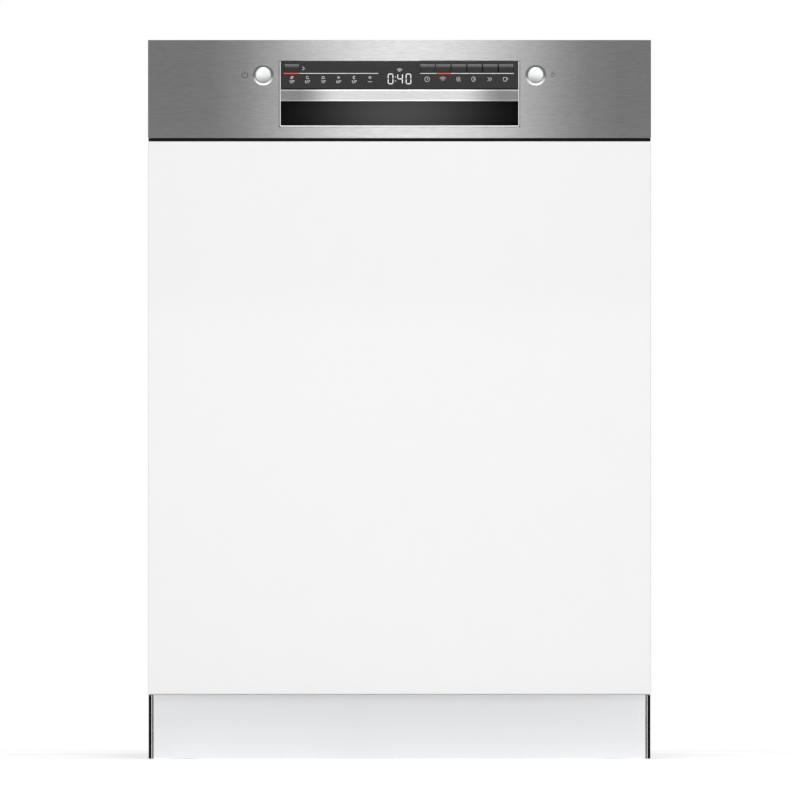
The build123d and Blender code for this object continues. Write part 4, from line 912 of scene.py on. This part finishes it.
def build_folding_tines(settings):
    """Fold-down tines: hairpins on one hinge wire."""
    lo, hi = corners_of("lower_tines")
    y, z = (lo[1] + hi[1]) / 2, lo[2] + WIRE_INSET
    path = [(x, y, z) for x in np.linspace(lo[0], hi[0], 4)]
    rod = tubes("tine_hinge_wire", [path], 1.75 * MM, (0, 1, 0), 10)
    place(rod, "wire", "lower_tines", "rack_wire")
    xs = np.linspace(lo[0] + 0.014, hi[0] - 0.014, 9)
    hairpins("folding_tines", xs, [y], z, hi[2] - WIRE_INSET, "lower_tines")
    profile = [(0.0, CLIP_BORE), (0.0, 0.004), (0.0036, 0.004), (0.0036, CLIP_BORE)]
    for i, x in enumerate((lo[0] + 0.0002, hi[0] - 0.0038)):
        clip = lathe(f"tine_clip_{i}", (x, y, z), (1, 0, 0), profile, 24)
        place(clip, "grey", "lower_basket", "wheel_plastic")
    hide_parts("lower_tines")


ARM_SWAY = 6 * MM  # sideways swing of an arm's centre line
JETS = (-0.93, -0.76, -0.58, -0.36, 0.28, 0.45, 0.64, 0.82, 0.94)  # shares of the half length


def build_spray_arm(name):
    """Spray arm: soft oval sections that swell at the hub and towards the tips, plus nozzles."""
    lo, hi = corners_of(name)
    cx, cy = (lo[0] + hi[0]) / 2, (lo[1] + hi[1]) / 2
    z, t = (lo[2] + hi[2]) / 2, (hi[2] - lo[2]) / 2
    half = (hi[0] - lo[0]) / 2
    u = np.linspace(-1, 1, 61)
    width = 0.0135 + 0.0105 * np.exp(-((u * 4.2) ** 2)) + 0.0075 * np.abs(u) ** 1.5
    width *= np.sqrt(np.clip(1 - np.abs(u) ** 14, 0.0004, 1))
    height = t * (0.72 + 0.27 * np.exp(-((u * 5) ** 2)))
    height = height * np.sqrt(np.clip(1 - np.abs(u) ** 20, 0.002, 1))
    a = np.arange(28) * TAU / 28
    c, s = np.cos(a), np.sin(a)
    oval_y, oval_z = np.sign(c) * np.abs(c) ** 0.75, np.sign(s) * np.abs(s) ** 0.75
    rings = np.zeros((1, len(u), len(a), 3))
    rings[0, ..., 0] = cx + half * u[:, None]
    rings[0, ..., 1] = cy + width[:, None] * oval_y + ARM_SWAY * np.sin(u * np.pi)[:, None]
    rings[0, ..., 2] = z + height[:, None] * oval_z
    arm = place(skin(f"{name}_blade", rings, smooth=50.0), "arm", name, "arm_plastic")
    hub = [(-t, 0.0125), (-t, 0.0215), (-t * 0.2, 0.0235), (t * 0.75, 0.0215), (t, 0.019), (t, 0.0125)]
    place(lathe(f"{name}_hub", (cx, cy, z), (0, 0, 1), hub, 48), "arm", name, "arm_plastic")
    jet = [(0.0, 0.0011), (0.0, 0.0042), (0.0011, 0.0036), (0.0015, 0.0026), (0.0012, 0.0013)]
    for i, q in enumerate(JETS):
        k = int(round((q + 1) * 30))
        top = z + height[k] * 0.99 - 0.0006
        across = ARM_SWAY * np.sin(u[k] * np.pi) + 0.004 * np.cos(9 * q)
        centre = (cx + half * u[k], cy + across, top)
        place(lathe(f"{name}_jet_{i}", centre, (0, 0, 1), jet, 20), "black", name, "black_plastic")
    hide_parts(name)


WHEEL_W, WHEEL_BORE = 12 * MM, 4.05 * MM


def build_rack_wheels(settings):
    """Rack wheels: grooved tyre, recessed web and hub."""
    for name in ("lower_wheels_front", "lower_wheels_rear"):
        lo, hi = corners_of(name)
        y, z, r = (lo[1] + hi[1]) / 2, (lo[2] + hi[2]) / 2, (hi[2] - lo[2]) / 2
        w = WHEEL_W
        profile = [
            (0.0, WHEEL_BORE), (0.0, 0.0075), (0.0025, 0.008), (0.0028, 0.0115), (0.0002, 0.0123),
            (0.0, r - 0.001), (0.001, r), (w * 0.42, r), (w * 0.46, r - 0.0008), (w * 0.54, r - 0.0008),
            (w * 0.58, r), (w - 0.001, r), (w, r - 0.001), (w, 0.0123), (w - 0.0028, 0.0115),
            (w - 0.0025, 0.008), (w, 0.0075), (w, WHEEL_BORE),
        ]
        for s, x in ((-1, lo[0] + w), (1, hi[0] - w)):
            wheel = lathe(f"{name}_{s}", (x, y, z), (s, 0, 0), profile, 48)
            place(wheel, "arm", name, "wheel_plastic")
        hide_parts(name)


# Seals, pressings, plinth lines and feet


SEAL_R, SEAL_CORNER = 4.8 * MM, 18 * MM
LIP_R, LIP_SPREAD = 0.9 * MM, 3.5 * MM


def build_gasket(settings):
    """Bulb seal: an oval section carried up one side, over the top and down the other."""
    lo, hi = corners_of("door_gasket")
    y, r = (lo[1] + hi[1]) / 2, SEAL_R
    x, z1, z0 = hi[0] - r, hi[2] - r, lo[2] + 0.0005
    path = rounded_path([(-x, y, z0), (-x, y, z1), (x, y, z1), (x, y, z0)], SEAL_CORNER, 9)
    seal = tubes("door_seal", [path], r, (0, 1, 0), 20, flat=0.8)
    place(seal, "rubber", "cabinet", "rubber")
    lips = []
    back = hi[1] - 1 * MM
    for d in (-LIP_SPREAD, LIP_SPREAD):
        out, top = x + d, z1 + d
        corners = [(-out, back, z0), (-out, back, top), (out, back, top), (out, back, z0)]
        lips.append(rounded_path(corners, SEAL_CORNER, 9))
    place(tubes("door_seal_lips", lips, LIP_R, (0, 1, 0), 8), "rubber", "cabinet", "rubber")
    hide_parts("door_gasket")


PRESS_EDGE = 16 * MM
WALL_T = 5.8 * MM
LINER_RISE = 1.8 * MM


def field(a0, a1, b0, b1, half_a, border, share):
    """Sunk middle of a pressed sheet: centre, half sizes and share of its height."""
    return ((a0 + a1) / 2, (b0 + b1) / 2), (half_a, (b1 - b0) / 2 - border), share


def build_pressings(settings):
    """Shallow pressed fields on the tub walls, its back, and the door's inner face."""
    depth = settings.press_depth
    wall = TUB_HI[0] - WALL_T
    rail_lo, rail_hi = corners_of("rail_rollers")
    y0, y1 = TUB_LO[1] + 0.03, TUB_HI[1] - 0.03
    z0, z1 = TUB_LO[2] + 0.055, rail_lo[2] - 0.008
    z2, z3 = rail_hi[2] + 0.008, TUB_HI[2] - 0.03
    for s, side in ((-1, "left"), (1, "right")):
        for low, high, part in ((z0, z1, "lower"), (z2, z3, "upper")):
            sunk = [field(y0, y1, low, high, 0.15, 0.04, 0.7)]
            start, end = (s * wall, y0, low), (s * wall, y1, high)
            pad = pillow(f"tub_press_{side}_{part}", start, end, 0, -s * depth, PRESS_EDGE, 60, 60, sunk)
            place(pad, "stainless", "cabinet", "stainless")
    back = TUB_HI[1] - 0.8 * MM
    for s, side in ((-1, "left"), (1, "right")):
        x0, x1 = sorted((s * 0.045, s * (TUB_HI[0] - 0.035)))
        sunk = [field(x0, x1, z0, z3, 0.06, 0.05, 0.7)]
        start, end = (x0, back, z0), (x1, back, z3)
        pad = pillow(f"tub_press_back_{side}", start, end, 1, -depth, PRESS_EDGE, 60, 90, sunk)
        place(pad, "stainless", "cabinet", "stainless")
    disp_lo, disp_hi = corners_of("dispenser_body")
    x, y = 0.24, LINER_HI[1]
    lower = (LINER_LO[2] + 0.04, disp_lo[2] - 0.012, "lower")
    upper = (disp_hi[2] + 0.012, LINER_HI[2] - 0.03, "upper")
    for low, high, part in (lower, upper):
        sunk = [field(-x, x, low, high, 0.18, 0.05, 0.75)]
        start, end = (-x, y, low), (x, y, high)
        pad = pillow(f"liner_press_{part}", start, end, 1, LINER_RISE, PRESS_EDGE, 80, 60, sunk)
        place(pad, "stainless", "door", "stainless")


def build_front_lines(settings):
    """Fine lines of the front: a grey line of painted shade along the panel's lower edge, and the bright
    edges of the plinth trims.
    """
    # Painted shade: a grey tube along the panel's lower front edge.
    y = PANEL_LO[1] + 0.8 * MM
    z = PANEL_LO[2] + 0.95 * MM
    xs = np.linspace(PANEL_LO[0] + 1 * MM, PANEL_HI[0] - 1 * MM, 6)
    band = tubes("panel_painted_edge_shade", [[(x, y, z) for x in xs]], 0.9 * MM, (0, 1, 0), 10)
    place(band, "grey", "door", "grey_plastic")
    y = corners_of("plinth_end_trims")[0][1]
    zs = np.linspace(PLINTH_LO[2] + 0.0003, PLINTH_HI[2] - 0.004, 5)
    trims = []
    for s in (-1, 1):
        x = s * (PLINTH_HI[0] + 1.9 * MM)
        trims.append([(x, y, z) for z in zs])
    lines = tubes("plinth_trim_lines", trims, 0.5 * MM, (0, 1, 0), 8)
    place(lines, "edge", "cabinet", "button_metal")


THREAD_R, THREAD_CUT, THREAD_PITCH = 6.9 * MM, 0.7 * MM, 2.2 * MM


def build_feet(settings):
    """Screw feet: stepped pad, collar, and a thread whose radius follows a cosine up the stem."""
    for name in ("front_left_foot", "front_right_foot", "rear_foot"):
        lo, hi = corners_of(name)
        centre = ((lo[0] + hi[0]) / 2, (lo[1] + hi[1]) / 2, 0.0)
        r = (hi[0] - lo[0]) / 2
        z = np.linspace(0.016, hi[2] - 0.002, 100)
        ridge = THREAD_R - THREAD_CUT * (0.5 + 0.5 * np.cos((z - z[0]) * TAU / THREAD_PITCH))
        pad = [
            (0.0, CORE), (0.0, r - 0.001), (0.001, r), (0.0035, r), (0.005, r - 0.002),
            (0.0075, r - 0.003), (0.008, 0.011), (0.014, 0.0105), (0.015, THREAD_R),
        ]
        tip = [(hi[2], 0.0055), (hi[2], CORE)]
        profile = pad + list(zip(z, ridge)) + tip
        foot = lathe(f"{name}_turned", centre, (0, 0, 1), profile, 36)
        place(foot, "base", name, "foot_plastic")
        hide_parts(name)


def build_cabinet_screws(settings):
    """Pan head screws with a dished middle, in rows down the front and rear edges of the side sheets."""
    lo, hi = corners_of("side_panels")
    head = [
        (0.0, 0.0003), (0.0, 0.0035), (0.00012, 0.0037), (0.0003, 0.0032), (0.00042, 0.0022),
        (0.00025, 0.0012), (0.0001, 0.0003),
    ]
    n = 0
    for s in (-1, 1):
        for y in (lo[1] + 0.012, hi[1] - 0.012):
            for z in np.linspace(lo[2] + 0.04, hi[2] - 0.03, 4):
                screw = lathe(f"side_screw_{n}", (s * hi[0], y, z), (s, 0, 0), head, 24)
                place(screw, "zinc", "cabinet", "steel_parts")
                n += 1


# Studio


def build_stage(settings):
    """Pale floor, soft lights, white surround and the straight front camera."""
    scene = bpy.context.scene
    u = np.linspace(-4.0, 4.0, 12)
    v = np.linspace(-5.0, settings.floor_depth, 12)
    grid = np.stack(np.meshgrid(u, v, [0.0], indexing="ij"), axis=-1)[:, :, 0]
    floor = slab("studio_floor", grid, grid - (0.0, 0.0, 0.01))
    finish_with(floor, "floor")
    world = bpy.data.worlds.new("studio")
    scene.world = world
    world.use_nodes = True
    nodes, links = world.node_tree.nodes, world.node_tree.links
    sky = nodes["Background"]
    sky.inputs["Color"].default_value = (1.0, 1.0, 1.0, 1.0)
    sky.inputs["Strength"].default_value = 1.0
    dim = nodes.new("ShaderNodeBackground")
    dim.inputs["Color"].default_value = (1.0, 1.0, 1.0, 1.0)
    dim.inputs["Strength"].default_value = settings.ambient
    path = nodes.new("ShaderNodeLightPath")
    mix = nodes.new("ShaderNodeMixShader")
    links.new(path.outputs["Is Camera Ray"], mix.inputs["Fac"])
    links.new(dim.outputs["Background"], mix.inputs[1])
    links.new(sky.outputs["Background"], mix.inputs[2])
    links.new(mix.outputs["Shader"], nodes["World Output"].inputs["Surface"])
    lamp("key_light", (0.0, -2.1, 2.4), (0.0, -0.28, 0.6), 1.8, 1.0, settings.key_power)
    lamp("fill_light", (0.0, -3.2, 0.3), (0.0, -0.28, 0.3), 2.4, 0.5, settings.fill_power)
    lamp("band_light", (0.03, -1.9, 1.45), (0.02, -0.28, 0.8), 0.26, 1.0, settings.band_power)
    lamp("rear_light", (0.8, 2.6, 2.4), (0.0, 0.2, 0.5), 1.6, 1.6, settings.rear_power)
    data = bpy.data.cameras.new("front_camera")
    data.lens = 1000.0
    data.sensor_width = 36.0
    data.clip_end = 60.0
    camera = bpy.data.objects.new("front_camera", data)
    camera.location = (0.0006, FACE_Y - settings.camera_distance, settings.camera_height)
    camera.rotation_euler = (np.pi / 2, 0.0, 0.0)
    scene.collection.objects.link(camera)
    scene.camera = camera
    scene.view_settings.view_transform = "Standard"
    scene.view_settings.look = "None"


def lamp(name, at, towards, width, height, power):
    """Soft rectangular lamp that the camera doesn't see."""
    data = bpy.data.lights.new(name, "AREA")
    data.shape = "RECTANGLE"
    data.size, data.size_y, data.energy = width, height, power
    obj = bpy.data.objects.new(name, data)
    obj.location = at
    obj.rotation_euler = (Vector(towards) - Vector(at)).to_track_quat("-Z", "Y").to_euler()
    obj.visible_camera = False
    bpy.context.scene.collection.objects.link(obj)
    return obj


# Add-on: settings, operators, panel


class DishwasherSettings(bpy.types.PropertyGroup):
    """Sizes and powers that the operators read."""

    wire_radius: bpy.props.FloatProperty(
        name="Wire Radius", description="Radius of the rack wires",
        default=1.6e-3, unit="LENGTH",
    )
    wire_pitch: bpy.props.FloatProperty(
        name="Wire Pitch", description="Distance between rack wires",
        default=0.026, unit="LENGTH",
    )
    press_depth: bpy.props.FloatProperty(
        name="Press Depth", description="Height of the pressed fields",
        default=2.2e-3, unit="LENGTH",
    )
    line_width: bpy.props.FloatProperty(
        name="Line Width", description="Width of the lit lines",
        default=0.75e-3, unit="LENGTH",
    )
    digit_width: bpy.props.FloatProperty(
        name="Digit Stroke", description="Stroke width of the digits",
        default=0.9e-3, unit="LENGTH",
    )
    print_width: bpy.props.FloatProperty(
        name="Print Width", description="Stroke width of the printed signs",
        default=0.42e-3, unit="LENGTH",
    )
    # Radius of the bright wire that paints the highlight on the window's chamfered edge.
    edge_highlight_radius: bpy.props.FloatProperty(
        name="Bezel Radius", description="Radius of the window's edge wire",
        default=0.6e-3, unit="LENGTH",
    )
    ambient: bpy.props.FloatProperty(
        name="Ambient", description="Strength of the surround for all but the camera",
        default=0.40,
    )
    key_power: bpy.props.FloatProperty(
        name="Key Power", description="Power of the key lamp in watts",
        default=20.0,
    )
    fill_power: bpy.props.FloatProperty(
        name="Fill Power", description="Power of the fill lamp in watts",
        default=9.0,
    )
    band_power: bpy.props.FloatProperty(
        name="Band Power", description="Power of the narrow lamp in watts",
        default=4.0,
    )
    rear_power: bpy.props.FloatProperty(
        name="Rear Power", description="Power of the rear lamp in watts",
        default=12.0,
    )
    floor_depth: bpy.props.FloatProperty(
        name="Floor Depth", description="How far the floor runs behind the origin",
        default=0.45, unit="LENGTH",
    )
    camera_distance: bpy.props.FloatProperty(
        name="Camera Distance", description="From the camera to the front face",
        default=26.42, unit="LENGTH",
    )
    camera_height: bpy.props.FloatProperty(
        name="Camera Height", description="Height of the camera",
        default=0.428, unit="LENGTH",
    )


class DISHWASHER_OT_finishes(bpy.types.Operator):
    """Give every solid node its finish"""

    bl_idname = "dishwasher.finishes"
    bl_label = "Finishes"

    def execute(self, context):
        FINISHES.update(make_materials())
        for name, obj in NODES.items():
            finish_with(obj, CAD_FINISH.get(name, "key"))
        return {"FINISHED"}


class DISHWASHER_OT_console(bpy.types.Operator):
    """Add the console's painted window edge highlight, button rings and caps"""

    bl_idname = "dishwasher.console"
    bl_label = "Console Edges and Buttons"

    def execute(self, context):
        settings = context.scene.dishwasher
        build_window_edge_highlight(settings)
        build_button_rings(settings)
        build_button_caps(settings)
        return {"FINISHED"}


class DISHWASHER_OT_display(bpy.types.Operator):
    """Add the lit lines, digits and printed signs"""

    bl_idname = "dishwasher.display"
    bl_label = "Display and Signs"

    def execute(self, context):
        settings = context.scene.dishwasher
        build_key_lines(settings)
        build_display(settings)
        build_key_marks(settings)
        build_steel_marks(settings)
        return {"FINISHED"}


class DISHWASHER_OT_front_lines(bpy.types.Operator):
    """Add the painted shade line under the panel and the plinth trim lines"""

    bl_idname = "dishwasher.front_lines"
    bl_label = "Front Lines"

    def execute(self, context):
        build_front_lines(context.scene.dishwasher)
        return {"FINISHED"}


class DISHWASHER_OT_lower_rack(bpy.types.Operator):
    """Add the lower rack, its folding tines and wheels"""

    bl_idname = "dishwasher.lower_rack"
    bl_label = "Lower Rack"

    def execute(self, context):
        settings = context.scene.dishwasher
        build_lower_rack(settings)
        build_folding_tines(settings)
        build_rack_wheels(settings)
        return {"FINISHED"}


class DISHWASHER_OT_upper_rack(bpy.types.Operator):
    """Add the upper rack and its cup shelf"""

    bl_idname = "dishwasher.upper_rack"
    bl_label = "Upper Rack"

    def execute(self, context):
        settings = context.scene.dishwasher
        build_upper_rack(settings)
        build_cup_shelf(settings)
        return {"FINISHED"}


class DISHWASHER_OT_spray_arms(bpy.types.Operator):
    """Add both spray arms"""

    bl_idname = "dishwasher.spray_arms"
    bl_label = "Spray Arms"

    def execute(self, context):
        build_spray_arm("lower_spray_arm")
        build_spray_arm("upper_spray_arm")
        return {"FINISHED"}


class DISHWASHER_OT_gasket(bpy.types.Operator):
    """Add the bulb seal round the tub mouth"""

    bl_idname = "dishwasher.gasket"
    bl_label = "Door Seal"

    def execute(self, context):
        build_gasket(context.scene.dishwasher)
        return {"FINISHED"}


class DISHWASHER_OT_pressings(bpy.types.Operator):
    """Add the pressed fields of tub and door"""

    bl_idname = "dishwasher.pressings"
    bl_label = "Pressed Fields"

    def execute(self, context):
        build_pressings(context.scene.dishwasher)
        return {"FINISHED"}


class DISHWASHER_OT_feet(bpy.types.Operator):
    """Add the feet and the cabinet screws"""

    bl_idname = "dishwasher.feet"
    bl_label = "Feet and Screws"

    def execute(self, context):
        settings = context.scene.dishwasher
        build_feet(settings)
        build_cabinet_screws(settings)
        return {"FINISHED"}


class DISHWASHER_OT_stage(bpy.types.Operator):
    """Add the floor, lights, surround and camera"""

    bl_idname = "dishwasher.stage"
    bl_label = "Studio"

    def execute(self, context):
        build_stage(context.scene.dishwasher)
        return {"FINISHED"}


OPERATORS = (
    DISHWASHER_OT_finishes,
    DISHWASHER_OT_console,
    DISHWASHER_OT_display,
    DISHWASHER_OT_front_lines,
    DISHWASHER_OT_lower_rack,
    DISHWASHER_OT_upper_rack,
    DISHWASHER_OT_spray_arms,
    DISHWASHER_OT_gasket,
    DISHWASHER_OT_pressings,
    DISHWASHER_OT_feet,
    DISHWASHER_OT_stage,
)


class DISHWASHER_PT_panel(bpy.types.Panel):
    """Lists the build steps in the sidebar"""

    bl_label = "Dishwasher"
    bl_idname = "DISHWASHER_PT_panel"
    bl_space_type = "VIEW_3D"
    bl_region_type = "UI"
    bl_category = "Dishwasher"

    def draw(self, context):
        for op in OPERATORS:
            self.layout.operator(op.bl_idname)


CLASSES = (DishwasherSettings, *OPERATORS, DISHWASHER_PT_panel)


def register():
    for cls in CLASSES:
        bpy.utils.register_class(cls)
    bpy.types.Scene.dishwasher = bpy.props.PointerProperty(type=DishwasherSettings)


def unregister():
    del bpy.types.Scene.dishwasher
    for cls in reversed(CLASSES):
        bpy.utils.unregister_class(cls)


def main():
    """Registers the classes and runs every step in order."""
    register()
    for op in OPERATORS:
        group, step = op.bl_idname.split(".")
        getattr(getattr(bpy.ops, group), step)()


if __name__ == "__main__":
    main()
